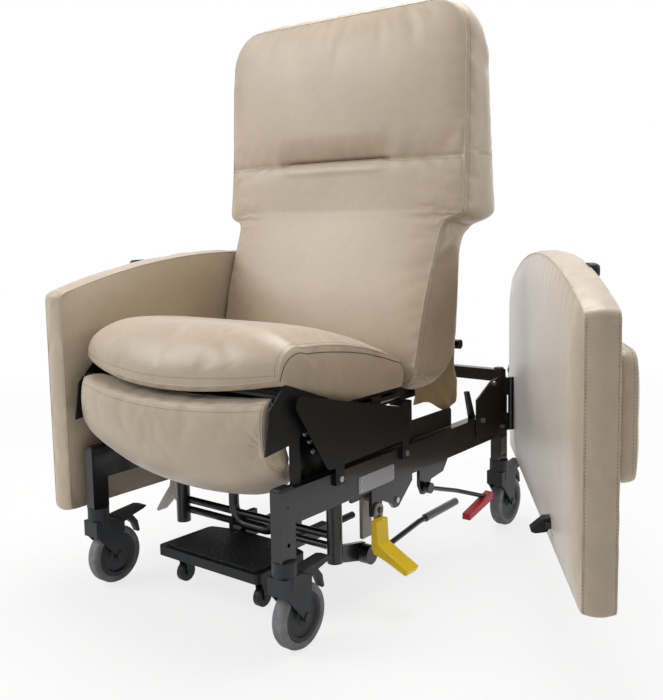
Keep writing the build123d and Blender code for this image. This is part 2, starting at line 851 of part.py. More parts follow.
def legrest_pad():
    """The calf pad, bowed in front, with a lower edge like a shallow bowl's rim."""
    shape_shares = [(1, 0.57, 0.33, 1), (0.985, 0.62, 0.4, 0.3), (0.93, 0.74, 0.6, 0), (0.79, 0.84, 0.8, 0),
                    (0.5, 0.95, 0.95, 0), (0, 1, 1, 0)]
    left = [legrest_ring(-x * legrest_half_width, drop, sweep_share, drawn * legrest_top_rise)
            for x, drop, sweep_share, drawn in shape_shares]
    right = [legrest_ring(x * legrest_half_width, drop, sweep_share, drawn * legrest_top_rise)
             for x, drop, sweep_share, drawn in reversed(shape_shares[:-1])]
    return ruled(left + right)


def legrest_board():
    """The board behind the pad with an arm at each end that turns on the carrier's pin."""
    front = legrest_rear_y + rest_gap
    rear = front + legrest_board_thickness
    top = legrest_pivot_z + legrest_top_rise - legrest_board_drop
    half_width = legrest_board_half_width
    board = block(-half_width, half_width, front, rear, top - legrest_board_height, top)
    boss = 2 * legrest_pin_diameter
    x_low = legrest_arm_x
    x_high = x_low + legrest_arm_thickness
    arm_points = [
        (legrest_pivot_y, legrest_pivot_z + boss / 3),
        (rear, legrest_pivot_z - boss / 2),
        (rear, legrest_pivot_z - 2 * boss),
        (front, legrest_pivot_z - 2 * boss),
        (legrest_pivot_y, legrest_pivot_z - boss / 2),
    ]
    arm = plate_x(x_low, x_high, arm_points) + rod_x(x_low, x_high, legrest_pivot_y, legrest_pivot_z, boss)
    arm += block(legrest_board_half_width - overrun, x_high, front, rear, legrest_pivot_z - 2 * boss,
                 legrest_pivot_z - boss)
    arm -= rod_x(x_low - overrun, x_high + overrun, legrest_pivot_y, legrest_pivot_z,
                 legrest_pin_diameter + 2 * running_clearance)
    return board + arm + mirrored(arm)


def legrest_carrier():
    """Slide rods, side plates and pins that carry the legrest forward as it rises."""
    rod_front = legrest_pivot_y + carrier_reach - carrier_block_depth
    rod = rod_y(slide_rod_x, rod_front, rod_front + slide_rod_length, slide_rod_z, slide_rod_diameter)
    boss = 2 * legrest_pin_diameter
    x_low = carrier_x
    x_high = carrier_x + carrier_thickness
    points = [
        (legrest_pivot_y - boss / 2, legrest_pivot_z + boss / 2),
        (legrest_pivot_y + boss / 2, legrest_pivot_z + boss / 2),
        (rod_front + carrier_block_depth, slide_rod_z + slide_rod_diameter),
        (rod_front + carrier_block_depth, slide_rod_z - slide_rod_diameter),
        (rod_front, slide_rod_z - slide_rod_diameter),
        (legrest_pivot_y - boss / 2, legrest_pivot_z - boss / 2),
    ]
    plate = plate_x(x_low, x_high, points)
    radius = slide_rod_diameter / 2
    plate += block(slide_rod_x - radius, x_low + overrun, rod_front, rod_front + carrier_block_depth,
                   slide_rod_z - radius, slide_rod_z + radius)
    plate += rod_x(legrest_arm_x, x_high, legrest_pivot_y, legrest_pivot_z, legrest_pin_diameter)
    return both_sides(rod + plate)


def guard_plates():
    """On each side a gusset standing on the rail and an outer trapezoid guard on two spacers."""
    gusset_low = rail_top_z + gusset_rise
    gusset_shares = [(0.32, 1), (0.07, 0.66), (0, 0), (0.46, 0.08), (1, 0.63)]
    gusset_front = gusset_rear_y - gusset_length
    gusset = plate_x(gusset_x, gusset_x + gusset_thickness,
                     placed(gusset_shares, gusset_front, gusset_length, gusset_low, gusset_height))
    leg_front = -rail_length / 2
    gusset += block(gusset_x, gusset_x + gusset_thickness, leg_front, leg_front + guard_tab_width, rail_top_z,
                    gusset_low + gusset_height / 4)
    guard_low = rail_top_z + guard_rise
    x_low = side_outer_x + guard_spacer
    guard_shares = [(0, 1), (0.9, 0.48), (1, 0.04), (0.27, 0)]
    guard_points = placed(guard_shares, guard_front_y, guard_length, guard_low, guard_height)
    guard = plate_x(x_low, x_low + guard_thickness, guard_points, guard_rounding)
    for share in guard_tab_shares:
        y = guard_front_y + share * guard_length
        guard += block(x_low, x_low + guard_thickness, y - guard_tab_width / 2, y + guard_tab_width / 2,
                       guard_low - guard_tab_drop, guard_low + guard_rounding)
        guard += block(side_outer_x, x_low, y - guard_tab_width / 2, y + guard_tab_width / 2,
                       guard_low - guard_tab_drop, guard_low - guard_rise)
    return both_sides(Compound(gusset.solids() + guard.solids()))


# Rail hardware

def name_plate():
    """The bare metal plate on the right rail and the bare label on the rear post."""
    y_low = plate_rear_y - plate_length
    z_low = rail_bottom_z + plate_rise
    ring_low = (y_low, z_low)
    ring_high = (plate_rear_y, z_low + plate_height)
    face = side_outer_x + plate_thickness
    plate = ruled([
        rounded_ring(ring_low, ring_high, rivet_diameter, lambda y, z: (side_outer_x, y, z)),
        rounded_ring(ring_low, ring_high, rivet_diameter, lambda y, z: (face, y, z)),
    ])
    half = label_length / 2
    label_low = post_bottom_z + label_rise
    label = block(side_outer_x, side_outer_x + label_thickness, post_y - half, post_y + half, label_low,
                  label_low + label_height)
    return Compound(plate.solids() + label.solids())


def head(x, y, z, diameter=bolt_head_diameter, height=bolt_head_height):
    """A fastener's head standing on a face square to X."""
    return rod_x(x, x + height, y, z, diameter)


def frame_fasteners():
    """Heads of the bolts, screws and rivets that show on the frame."""
    first_ear = head(ear_outer_x(), ear_y(first_hanger_y, first_hanger_length), ear_z())
    second_ear = head(ear_outer_x(), red_pivot_y, ear_z())
    guard_x = side_outer_x + guard_spacer + guard_thickness
    guard_z = rail_top_z - guard_tab_drop / 3
    guards = [head(guard_x, guard_front_y + share * guard_length, guard_z) for share in guard_tab_shares]
    bracket_x = side_outer_x + hinge_plate_thickness
    bracket_rear = hinge_y - hinge_gap
    bracket_shares = [(0.21, 0.35), (0.57, 0.9), (0.9, 0.12)]
    bracket_places = placed(bracket_shares, bracket_rear - hinge_plate_length, hinge_plate_length,
                            hinge_plate_low_z, hinge_plate_height)
    brackets = [head(bracket_x, y, z) for y, z in bracket_places]
    sided = guards + brackets
    rivet_x = side_outer_x + plate_thickness
    rivets = []
    for y in (plate_rear_y - plate_length + rivet_inset, plate_rear_y - rivet_inset):
        for rise in (rivet_inset, plate_height - rivet_inset):
            rivets.append(head(rivet_x, y, rail_bottom_z + plate_rise + rise, rivet_diameter, rivet_height))
    left = [mirrored(piece) for piece in sided + [first_ear, second_ear]]
    return Compound([solid for piece in sided + [first_ear] + rivets + left for solid in piece.solids()])


def ear_outer_x():
    """Outer face of the hanger plates under the rail."""
    return side_inner_x + ear_inset + ear_thickness


def ear_y(y_low, length):
    """Middle of the ear at the foot of a hanger plate."""
    return y_low + ear_share * length


def ear_z():
    """Height of the ears' bolts."""
    return rail_bottom_z - red_pivot_drop


def rail_brackets():
    """Hanger plates, latch keepers and pedal brackets welded under the rails."""
    x_low = side_inner_x + ear_inset
    x_high = ear_outer_x()
    low = rail_bottom_z - hanger_plate_drop
    first_shares = [(0, 1), (1, 1), (1, 0.68), (0.68, 0.08), (0.64, 0), (0.53, 0), (0.45, 0.2), (0, 0.68)]
    first_points = placed(first_shares, first_hanger_y, first_hanger_length, low, hanger_plate_drop)
    first = plate_x(x_low, x_high, first_points)
    second_shares = [(0, 1), (1, 1), (0.96, 0.83), (0.81, 0.51), (0.39, 0.42), (0.27, 0.1), (0.2, 0),
                     (0.1, 0), (0, 0.34)]
    second = plate_x(x_low, x_high,
                     placed(second_shares, second_hanger_y, second_hanger_length, low, hanger_plate_drop))
    second -= rod_x(x_low - overrun, x_high + overrun, red_pivot_y, ear_z(), red_pivot_diameter)
    keeper_high = side_inner_x + keeper_thickness
    keeper = block(side_inner_x, keeper_high, latch_y - keeper_length / 2, latch_y + keeper_length / 2,
                   rail_bottom_z - keeper_height, rail_bottom_z)
    return both_sides(Compound(first.solids() + second.solids() + keeper.solids()))


def pedal_bracket(y, depth):
    """A bracket under the rail with the pin that a pedal lever turns on."""
    x_low = ear_outer_x() + lever_pin_inset - overrun
    x_high = x_low + ear_thickness
    low = rail_bottom_z - pedal_bracket_drop
    bracket = block(x_low, x_high, y - depth / 2, y + depth / 2, low, rail_bottom_z)
    end = x_high + yellow_lever_thickness + 2 * side_gap
    z = rail_bottom_z - lever_pin_drop
    pin = rod_x(x_low, end, y, z, lever_pin_diameter)
    return bracket + pin + rod_x(end, end + lever_pin_inset, y, z, bolt_head_diameter)


def pedal_brackets():
    """Both pedal brackets, yellow pedal on the right and taupe lever on the left."""
    right = pedal_bracket(pedal_bracket_y, pedal_bracket_depth)
    left = mirrored(pedal_bracket(taupe_lever_y + taupe_lever_width, taupe_lever_width))
    return Compound(right.solids() + left.solids())


# Arm hinges

def hinge_knuckles(z_ranges, bore_clearance):
    """Barrels about the arm's hinge pin, bored for it."""
    barrels = [rod_z(hinge_x, hinge_y, low, high, hinge_barrel_diameter) for low, high in z_ranges]
    bore = rod_z(hinge_x, hinge_y, hinge_low_z - overrun, hinge_high_z + overrun,
                 hinge_pin_diameter + 2 * bore_clearance)
    return barrels, bore


def knuckle_ranges():
    """Heights of the two frame knuckles and the arm's knuckle between them."""
    third = (hinge_high_z - hinge_low_z) / 3
    low = (hinge_low_z, hinge_low_z + third - knuckle_gap)
    middle = (hinge_low_z + third, hinge_high_z - third)
    high = (hinge_high_z - third + knuckle_gap, hinge_high_z)
    return low, middle, high


def hinge_brackets():
    """The plate on the rail and rear post of each side, with two knuckles for the arm's pin."""
    x_low = side_outer_x
    x_high = side_outer_x + hinge_plate_thickness
    rear = hinge_y - hinge_gap
    shares = [(0, 0.09), (0, 0.72), (0.47, 0.95), (1, 1), (1, 0)]
    plate = plate_x(x_low, x_high,
                    placed(shares, rear - hinge_plate_length, hinge_plate_length, hinge_plate_low_z,
                           hinge_plate_height))
    low, _, high = knuckle_ranges()
    barrels, bore = hinge_knuckles((low, high), 0)
    tab_rear = hinge_y - hinge_pin_diameter / 2
    for barrel, (z_low, z_high) in zip(barrels, (low, high)):
        tab = block(x_low, hinge_x, rear - hinge_plate_thickness, tab_rear, z_low, z_high)
        plate += barrel + tab
    return both_sides(plate - bore)


def hinge_pins():
    """The arms' upright hinge pins and the back's two pivot pins."""
    arm_pin = rod_z(hinge_x, hinge_y, hinge_low_z, hinge_high_z, hinge_pin_diameter)
    back_pin = rod_x(bar_inner_x, bar_outer_x + back_arm_gap + back_arm_thickness, back_pivot_y, back_pivot_z,
                     back_pin_diameter)
    return both_sides(Compound(arm_pin.solids() + back_pin.solids()))


# Arms, drawn closed on the right side

def arm_outline(x, inset):
    """Outline of the arm square to X, with an arched top and two rounded top corners."""
    centre, radius = arch_circle()
    radius -= inset
    front = arm_front_y + inset
    rear = arm_rear_y - inset
    low = arm_bottom_z + inset
    front_corner = arm_front_corner - inset / 2
    rear_corner = arm_rear_corner - inset
    steps = [((front, low), None)]
    f_tangent, f_middle, f_arch = corner_on_arch(front, front_corner, 1, centre, radius)
    r_tangent, r_middle, r_arch = corner_on_arch(rear, rear_corner, -1, centre, radius)
    crest = (centre[0], centre[1] + radius)
    steps += [(f_tangent, f_middle), (f_arch, crest), (r_arch, r_middle), (r_tangent, None)]
    steps.append(((rear, low), None))
    return closed_wire([((x, *point), middle and (x, *middle)) for point, middle in steps])


def arch_circle():
    """Centre and radius of the arm's top edge, through its front, crest and rear heights."""
    points = [(arm_front_y, arm_front_z), (arm_crest_y, arm_crest_z), (arm_rear_y, arm_rear_z)]
    (ax, ay), (bx, by), (cx, cy) = points
    d = 2 * (ax * (by - cy) + bx * (cy - ay) + cx * (ay - by))
    squares = [x * x + y * y for x, y in points]
    ux = (squares[0] * (by - cy) + squares[1] * (cy - ay) + squares[2] * (ay - by)) / d
    uy = (squares[0] * (cx - bx) + squares[1] * (ax - cx) + squares[2] * (bx - ax)) / d
    return (ux, uy), math.hypot(ax - ux, ay - uy)


def corner_on_arch(edge, corner, inward, centre, radius):
    """Where a corner between an upright edge and the arch starts, passes and ends."""
    y = edge + inward * corner
    z = centre[1] + math.sqrt((radius - corner) ** 2 - (y - centre[0]) ** 2)
    away = math.atan2(z - centre[1], y - centre[0])
    on_arch = (y + corner * math.cos(away), z + corner * math.sin(away))
    side = math.pi if inward > 0 else 0
    half = (away + side) / 2
    middle = (y + corner * math.cos(half), z + corner * math.sin(half))
    return (edge, z), middle, on_arch


def arm_panel():
    """The tall padded arm, a slab with softly drawn-in edges."""
    inner_edge = arm_inner_x + arm_edge_inset
    outer_edge = arm_outer_x - arm_edge_inset
    return ruled([
        arm_outline(arm_inner_x, arm_edge_inset),
        arm_outline(inner_edge, 0),
        arm_outline(outer_edge, 0),
        arm_outline(arm_outer_x, arm_edge_inset),
    ])


def arm_pad():
    """The padded bolster on the arm's outer face."""
    def ring(x, inset):
        low = (arm_pad_front_y + inset, arm_pad_low_z + inset)
        high = (arm_pad_front_y + arm_pad_length - inset, arm_pad_low_z + arm_pad_height - inset)
        return rounded_ring(low, high, arm_pad_corner - inset, lambda y, z: (x, y, z))

    bulge = arm_pad_crown
    return ruled([
        ring(arm_outer_x, bulge / 3),
        ring(arm_outer_x + arm_pad_thickness / 4, 0),
        ring(arm_outer_x + arm_pad_thickness * 2 / 3, bulge / 6),
        ring(arm_outer_x + arm_pad_thickness, bulge),
    ])


def arm_fittings():
    """Hinge leaf with its knuckle, and the latch plate with two ears and a pin."""
    _, middle, _ = knuckle_ranges()
    barrels, bore = hinge_knuckles((middle,), running_clearance)
    leaf_x = arm_inner_x - leaf_thickness
    leaf_front = hinge_y + hinge_barrel_diameter / 2
    leaf_rear = leaf_front + leaf_length
    leaf = block(leaf_x, arm_inner_x, leaf_front, leaf_rear, leaf_low_z, leaf_low_z + leaf_height)
    leaf += block(hinge_x, arm_inner_x, hinge_y, leaf_front + overrun, *middle)
    leaf = leaf + barrels[0] - bore
    plate_face = arm_inner_x - latch_plate_thickness
    half = latch_plate_length / 2
    plate = block(plate_face, arm_inner_x, latch_y - half, latch_y + half, latch_low_z,
                  latch_low_z + latch_plate_height)
    ear_depth = 2 * latch_pin_diameter
    pin_x, pin_z = latch_pin_place()
    reach = latch_width / 2 + side_gap + latch_ear_thickness
    for low in (latch_y - reach, latch_y + reach - latch_ear_thickness):
        plate += block(plate_face - ear_depth, plate_face + overrun / 2, low, low + latch_ear_thickness,
                       pin_z - latch_pin_diameter, pin_z + latch_pin_diameter)
    plate += rod_y(pin_x, latch_y - reach, latch_y + reach, pin_z, latch_pin_diameter)
    screws = []
    screw_y = leaf_front + leaf_screw_share * leaf_length
    for share in leaf_screw_shares:
        z = leaf_low_z + share * leaf_height
        screws.append(rod_x(leaf_x - bolt_head_height / 2, leaf_x, screw_y, z, bolt_head_diameter))
    return Compound(leaf.solids() + plate.solids() + [s for screw in screws for s in screw.solids()])


def latch_pin_place():
    """X and Z of the latch hook's pin."""
    x = arm_inner_x - latch_plate_thickness - latch_pin_diameter - side_gap
    return x, latch_low_z + latch_pin_share * latch_height


def latch_hook():
    """The hook that reaches under the rail and catches its keeper."""
    pin_x, pin_z = latch_pin_place()
    high_x = arm_inner_x - latch_plate_thickness - side_gap
    low_x = arm_inner_x - latch_reach
    shares = [(0, 0.3), (0.05, 0.08), (0.25, 0), (0.8, 0.1), (1, 0.45), (1, 1), (0.62, 0.95), (0.3, 0.62)]
    points = placed(shares, low_x, high_x - low_x, latch_low_z, latch_height)
    hook = plate_y(latch_y - latch_width / 2, latch_y + latch_width / 2, points)
    bore = rod_y(pin_x, latch_y - latch_width, latch_y + latch_width, pin_z,
                 latch_pin_diameter + 2 * running_clearance)
    return hook - bore


def release_lever():
    """The paddle outside the arm that frees the latch."""
    x_low = arm_outer_x + side_gap
    x_high = x_low + lever_thickness
    boss = rod_x(x_low, x_high, lever_y, lever_pivot_z, lever_boss_diameter)
    top_z = lever_pivot_z + lever_height
    shares = [(-0.5, 0), (-0.35, 1), (0.35, 1), (0.5, 0)]
    stem = plate_x(x_low, x_high, placed(shares, lever_y, lever_boss_diameter, lever_pivot_z, lever_height))
    grip_low = (lever_y - lever_grip_length / 2, top_z - lever_grip_height)
    grip_high = (lever_y + lever_grip_length / 2, top_z)
    inset = lever_grip_width / 5
    inset_low = (grip_low[0] + inset, grip_low[1] + inset)
    inset_high = (grip_high[0] - inset, grip_high[1] - inset)
    face_x = x_low + lever_grip_width
    corner = lever_grip_height / 3
    edge_x = x_low + lever_grip_edge_share * lever_grip_width
    grip = ruled([
        rounded_ring(grip_low, grip_high, corner, lambda y, z: (x_low, y, z)),
        rounded_ring(grip_low, grip_high, corner, lambda y, z: (edge_x, y, z)),
        rounded_ring(inset_low, inset_high, corner - inset / 2, lambda y, z: (face_x, y, z)),
    ])
    pin = rod_x(x_high - overrun, x_high + bolt_head_height, lever_y, lever_pivot_z, lever_pivot_diameter)
    return boss + stem + grip + pin


def arm_placed(shape, right):
    """An arm piece on the right turned open about its hinge, or on the left kept closed."""
    if right:
        return Pos(hinge_x, hinge_y, 0) * Rot(0, 0, arm_open_angle) * Pos(-hinge_x, -hinge_y, 0) * shape
    return mirrored(shape)


# Back

def back_ring(height_share, half_width, front, rear, crown):
    """Section of the back cushion square to Z, crowned in front and rounded at its corners."""
    z = rail_top_z + back_bottom_above_rail + height_share * back_height
    corner = min(back_corner, back_corner_share * (rear - front))
    small = corner / 2
    steps = [
        ((half_width - small, rear), corner_middle((half_width, rear), -1, -1, small)),
        ((half_width, rear - small), None),
        ((half_width, front + corner), corner_middle((half_width, front), -1, 1, corner)),
        ((half_width - corner, front), (0, front - crown)),
        ((-half_width + corner, front), corner_middle((-half_width, front), 1, 1, corner)),
        ((-half_width, front + corner), None),
        ((-half_width, rear - small), corner_middle((-half_width, rear), 1, -1, small)),
        ((-half_width + small, rear), None),
    ]
    return closed_wire([((*point, z), middle and (*middle, z)) for point, middle in steps])


def back_cushion():
    """The T-shaped back cushion, narrow below the notches, with wings above and a sewn cross channel."""
    # Shares of height, flare, depth to the front, depth to the rear, and crown.
    section_shares = [
        (0, -0.22, 0.02, 0.47, 0.3),
        (0.018, -0.04, 0, 0.53, 0.6),
        (0.06, 0, 0.04, 0.64, 0.9),
        (0.095, 0, 0.08, back_rear_share, 1),
        (0.21, 0, 0.18, back_rear_share, 1),
        (0.32, 0, 0.34, back_rear_share, 0.95),
        (0.377, 0.03, 0.42, 0.76, 0.9),
        (0.397, 0.08, 0.44, 0.86, 0.9),
        (0.417, 0.24, 0.46, 0.96, 0.9),
        (0.43, 0.62, 0.475, 1, 0.9),
        (0.445, 1, 0.48, 0.99, 0.9),
    ]
    upper_shares = [
        (0.82, 0.97, 0.556, 0.9, 0.9),
        (0.875, 0.93, 0.565, 0.88, 0.85),
        (0.93, 0.72, 0.58, 0.86, 0.7),
        (0.965, 0.42, 0.6, 0.84, 0.5),
        (0.988, -0.05, 0.63, 0.81, 0.3),
        (1, -0.9, 0.68, 0.78, 0.1),
    ]
    groove = seam_half_height / back_height
    seam_shares = [
        (seam_share - groove, 1, 0.502, 0.96, 0.9),
        (seam_share, 0.985, 0.522, 0.955, 0.72),
        (seam_share + groove, 1, 0.504, 0.95, 0.9),
    ]
    rings = []
    for height, widen, front, rear, crown in section_shares + seam_shares + upper_shares:
        half_width = back_half_width + widen * wing_flare
        rings.append(back_ring(height, half_width, back_front_y + front * back_depth,
                               back_front_y + rear * back_depth, crown * back_crown))
    return ruled(rings)


def back_panel():
    """The stiff panel behind the lower part of the back cushion."""
    y_low = back_front_y + back_rear_share * back_depth + rest_gap
    z_low = rail_top_z + panel_above_rail
    low = (-panel_half_width, z_low)
    high = (panel_half_width, z_low + panel_height)
    return ruled([
        rounded_ring(low, high, panel_corner, lambda x, z: (x, y_low, z)),
        rounded_ring(low, high, panel_corner, lambda x, z: (x, y_low + panel_thickness, z)),
    ])


def back_frame():
    """Two bent arms on the pivots, cross tubes behind the panel, and a knob on each side."""
    x_low = bar_outer_x + back_arm_gap
    x_high = x_low + back_arm_thickness
    face = back_front_y + back_rear_share * back_depth + rest_gap + panel_thickness
    low = rail_top_z + panel_above_rail
    high = low + panel_height
    boss = back_arm_boss / 2
    points = [
        (back_pivot_y, back_pivot_z - boss),
        (face + back_tube_diameter, low - boss),
        (face + 2 * back_tube_diameter, low),
        (face + 2 * back_tube_diameter, low + back_tube_diameter),
        (face + back_tube_diameter, low + 2 * back_tube_diameter),
        (face + back_tube_diameter, high),
        (face, high),
        (face, low),
        (back_pivot_y - boss, back_pivot_z + boss / 2),
    ]
    arm = plate_x(x_low, x_high, points) + rod_x(x_low, x_high, back_pivot_y, back_pivot_z, back_arm_boss)
    arm -= rod_x(x_low - overrun, x_high + overrun, back_pivot_y, back_pivot_z,
                 back_pin_diameter + 2 * running_clearance)
    knob_z = rail_top_z + knob_above_rail
    arm += rod_x(x_high - overrun, x_high + knob_shaft_length, knob_y, knob_z, knob_shaft_diameter)
    arm += rod_x(x_high + knob_shaft_length, x_high + knob_shaft_length + knob_length, knob_y, knob_z,
                 knob_diameter)
    frame = arm + mirrored(arm)
    for share in back_tube_shares:
        frame += rod_x(-x_low - overrun, x_low + overrun, face + back_tube_diameter / 2,
                       low + share * panel_height, back_tube_diameter)
    return frame


def folded_band(length, pitch, fold, thickness):
    """Closed corner points of a strip with arc folds along its length, as steps for a wire."""
    count = max(2, round(length / pitch))
    step = length / count
    forward = []
    for index in range(count):
        sign = 1 if index % 2 == 0 else -1
        forward.append(((index * step, 0), (index * step + step / 2, sign * fold / 2)))
    forward.append(((length, 0), None))
    back = []
    for index in reversed(range(count)):
        sign = 1 if index % 2 == 0 else -1
        back.append((((index + 1) * step, thickness), (index * step + step / 2, sign * fold / 2 + thickness)))
    back.append(((0, thickness), None))
    return forward + back


def skirt_strip(length, lift, height):
    """An upright folded strip, where lift makes a 3-D point of the distances along and across."""
    steps = folded_band(length, skirt_pitch, skirt_fold, skirt_thickness)
    wire = closed_wire([(lift(*point), middle and lift(*middle)) for point, middle in steps])
    return extrude(Face(wire), amount=height, dir=(0, 0, 1))


def back_skirt():
    """The cloth skirt that hangs from the back's lower edge round both sides and the rear."""
    top = rail_top_z + panel_above_rail - rest_gap
    low = top - skirt_height
    outer_x = side_inner_x - skirt_margin
    middle_x = outer_x - skirt_thickness - skirt_fold / 2
    depth = skirt_rear_y - skirt_front_y
    side = skirt_strip(depth, lambda a, b: (middle_x + b, skirt_front_y + a, low), skirt_height)
    base = rail_top_z + back_bottom_above_rail - rest_gap
    shares = [
        (0, (base - low) / skirt_height),
        (0.365, (base - low) / skirt_height),
        (0.45, 0.78),
        (0.52, 0.88),
        (0.59, 0.985),
        (1, 0.985),
        (1, 0.22),
        (0.97, 0),
        (0.54, 0.2),
        (0.05, 0.32),
    ]
    mask = plate_x(0, side_outer_x, placed(shares, skirt_front_y, depth, low, skirt_height))
    side = side & mask
    rear_y = skirt_rear_y - skirt_thickness - skirt_fold
    edge_x = middle_x + skirt_thickness / 2
    rear = skirt_strip(2 * edge_x, lambda a, b: (a - edge_x, rear_y + b, low), skirt_height)
    low_share, high_share = skirt_rear_shares
    rear = rear & block(-outer_x, outer_x, rear_y - skirt_fold, skirt_rear_y, low + low_share * skirt_height,
                        low + high_share * skirt_height)
    return side + mirrored(side) + rear


# Lower frame and footplate

def lower_frame():
    """Upright tubes, the bent hanger, tie rods, slide sleeves and the pedal shaft's foot bracket."""
    tube = rod_z(lower_tube_half_gap, lower_tube_y, lower_tube_low_z, bar_bottom_z, lower_tube_diameter)
    sleeve_rear = sleeve_front_y + sleeve_length
    sleeve = block(hanger_half_gap - sleeve_width / 2, hanger_half_gap + sleeve_width / 2, sleeve_front_y,
                   sleeve_rear, foot_slide_z - sleeve_height / 2, foot_slide_z + sleeve_height / 2)
    sleeve += block(hanger_half_gap - sleeve_link_width / 2, hanger_half_gap + sleeve_link_width / 2,
                    hanger_y - hanger_diameter / 2, sleeve_front_y + sleeve_length / 3,
                    foot_slide_z + sleeve_height / 2, hanger_low_z + hanger_diameter / 2)
    sleeve -= rod_y(hanger_half_gap, sleeve_front_y - overrun, sleeve_rear + overrun, foot_slide_z,
                    foot_slide_diameter + 2 * running_clearance)
    frame = tube + sleeve
    frame += mirrored(frame)
    cross_z = bar_bottom_z + bar_height / 2 - cross_bar_height / 2
    route = [(-hanger_half_gap, hanger_y, cross_z), (-hanger_half_gap, hanger_y, hanger_low_z),
             (hanger_half_gap, hanger_y, hanger_low_z), (hanger_half_gap, hanger_y, cross_z)]
    frame += bent_rod(route, hanger_diameter, hanger_bend)
    for z in (hanger_low_z, upper_tie_z):
        frame += rod_x(-lower_tube_half_gap, lower_tube_half_gap, hanger_y, z, tie_rod_diameter)
    return frame + foot_bracket()


def foot_bracket():
    """The plate from the right tube's foot to the pedal shaft, and the shaft."""
    x_high = foot_hub_x - side_gap
    x_low = x_high - foot_bracket_plate_thickness
    half = foot_hub_diameter / 2
    points = [
        (lower_tube_y, lower_tube_low_z),
        (lower_tube_y, lower_tube_low_z + lower_tube_diameter),
        (lower_tube_y + lower_tube_diameter / 2, lower_tube_low_z + lower_tube_diameter),
        (foot_hub_y + half / 2, foot_hub_z + half),
        (foot_hub_y + half / 2, foot_hub_z - half),
    ]
    plate = plate_x(x_low, x_high, points)
    return plate + rod_x(x_low, foot_hub_x + foot_hub_width, foot_hub_y, foot_hub_z, foot_shaft_diameter)


def link_bar():
    """The flat upright link beside the lower frame, bolted to the first hanger plate."""
    y_low = link_bar_y - link_bar_width / 2
    high = rail_bottom_z - hanger_plate_drop / 3
    bar = block(link_bar_x, link_bar_x + link_bar_thickness, y_low, y_low + link_bar_width,
                high - link_bar_height, high)
    bolt_z = high - link_bar_width / 4
    bolt = rod_x(link_bar_x, side_inner_x + ear_inset, link_bar_y, bolt_z, bolt_head_diameter)
    return bar + bolt


def footplate_board():
    """The sliding footplate with its slide rods, wheel brackets and axles."""
    rear = footplate_front_y + footplate_depth
    shares = [(-1, 0), (1, 0), (0.95, 0.89), (0.52, 1), (-0.52, 1), (-0.95, 0.89)]
    points = placed(shares, 0, footplate_half_width, footplate_front_y, footplate_depth)
    board = plate_z(footplate_low_z, footplate_top_z, points, footplate_corner / 2)
    rod = rod_y(hanger_half_gap, rear - footplate_corner, rear + foot_slide_length, foot_slide_z,
                foot_slide_diameter)
    half = foot_wheel_width / 2 + foot_bracket_gap
    outer = half + foot_bracket_thickness
    wheel_x = foot_wheel_half_gap
    depth = foot_bracket_depth / 2
    shares = [(-1, 1), (1, 1), (0.4, 0), (-0.4, 0)]
    low = foot_axle_z - foot_axle_diameter
    fork = plate_x(wheel_x - outer, wheel_x + outer,
                   placed(shares, foot_wheel_y, depth, low, footplate_low_z + overrun - low))
    fork -= block(wheel_x - half, wheel_x + half, foot_wheel_y - foot_bracket_depth,
                  foot_wheel_y + foot_bracket_depth, low - overrun, footplate_low_z - foot_bracket_thickness)
    reach = outer + foot_bracket_gap
    fork += rod_x(wheel_x - reach, wheel_x + reach, foot_wheel_y, foot_axle_z, foot_axle_diameter)
    side = rod + fork
    return board + side + mirrored(side)


def footplate_tread():
    """The moulded rubber tread on the footplate."""
    low = footplate_front_y + tread_margin
    width = footplate_half_width - tread_margin
    depth = footplate_depth - 3 * tread_margin
    shares = [(-1, 0), (1, 0), (0.96, 1), (-0.96, 1)]
    points = placed(shares, 0, width, low, depth)
    return plate_z(footplate_top_z, footplate_top_z + tread_thickness, points, footplate_corner / 2)


def foot_wheel():
    """A small wheel under the footplate."""
    half = foot_wheel_width / 2
    wheel = rod_x(-half, half, foot_wheel_y, foot_axle_z, foot_wheel_diameter)
    return wheel - rod_x(-half - overrun, half + overrun, foot_wheel_y, foot_axle_z,
                         foot_axle_diameter + 2 * running_clearance)


# Pedals

def lever_x():
    """Inner face of the pedal levers, outside their brackets."""
    return ear_outer_x() + lever_pin_inset - overrun + ear_thickness + side_gap


def yellow_lever():
    """The grey tapered lever that the yellow pedal is fixed to."""
    x_low = lever_x()
    x_high = x_low + yellow_lever_thickness
    z = rail_bottom_z - lever_pin_drop
    boss = pedal_boss_diameter
    points = [
        (pedal_bracket_y - boss / 2, z),
        (pedal_bracket_y + boss / 2, z),
        (pedal_bracket_y + boss / 5, z - yellow_lever_drop),
        (pedal_bracket_y - boss / 1.5, z - yellow_lever_drop),
    ]
    lever = plate_x(x_low, x_high, points) + rod_x(x_low, x_high, pedal_bracket_y, z, boss)
    return lever - rod_x(x_low - overrun, x_high + overrun, pedal_bracket_y, z,
                         lever_pin_diameter + 2 * running_clearance)


def yellow_pedal():
    """The yellow foot pedal, an upright shank bent out into a sloping pad."""
    x_low = lever_x() + yellow_lever_thickness
    z_high = rail_bottom_z - lever_pin_drop - lever_pin_diameter - running_clearance - bolt_head_diameter / 2
    shares = [(0, 1), (0.16, 1), (0.19, 0.52), (0.42, 0.4), (1, 0.12), (0.92, 0), (0.4, 0.2), (0.06, 0.3),
              (0, 0.4)]
    points = placed(shares, x_low, yellow_pad_reach, z_high - yellow_pad_drop, yellow_pad_drop)
    y_low = pedal_bracket_y - yellow_front_share * yellow_width
    return plate_y(y_low, y_low + yellow_width, points)


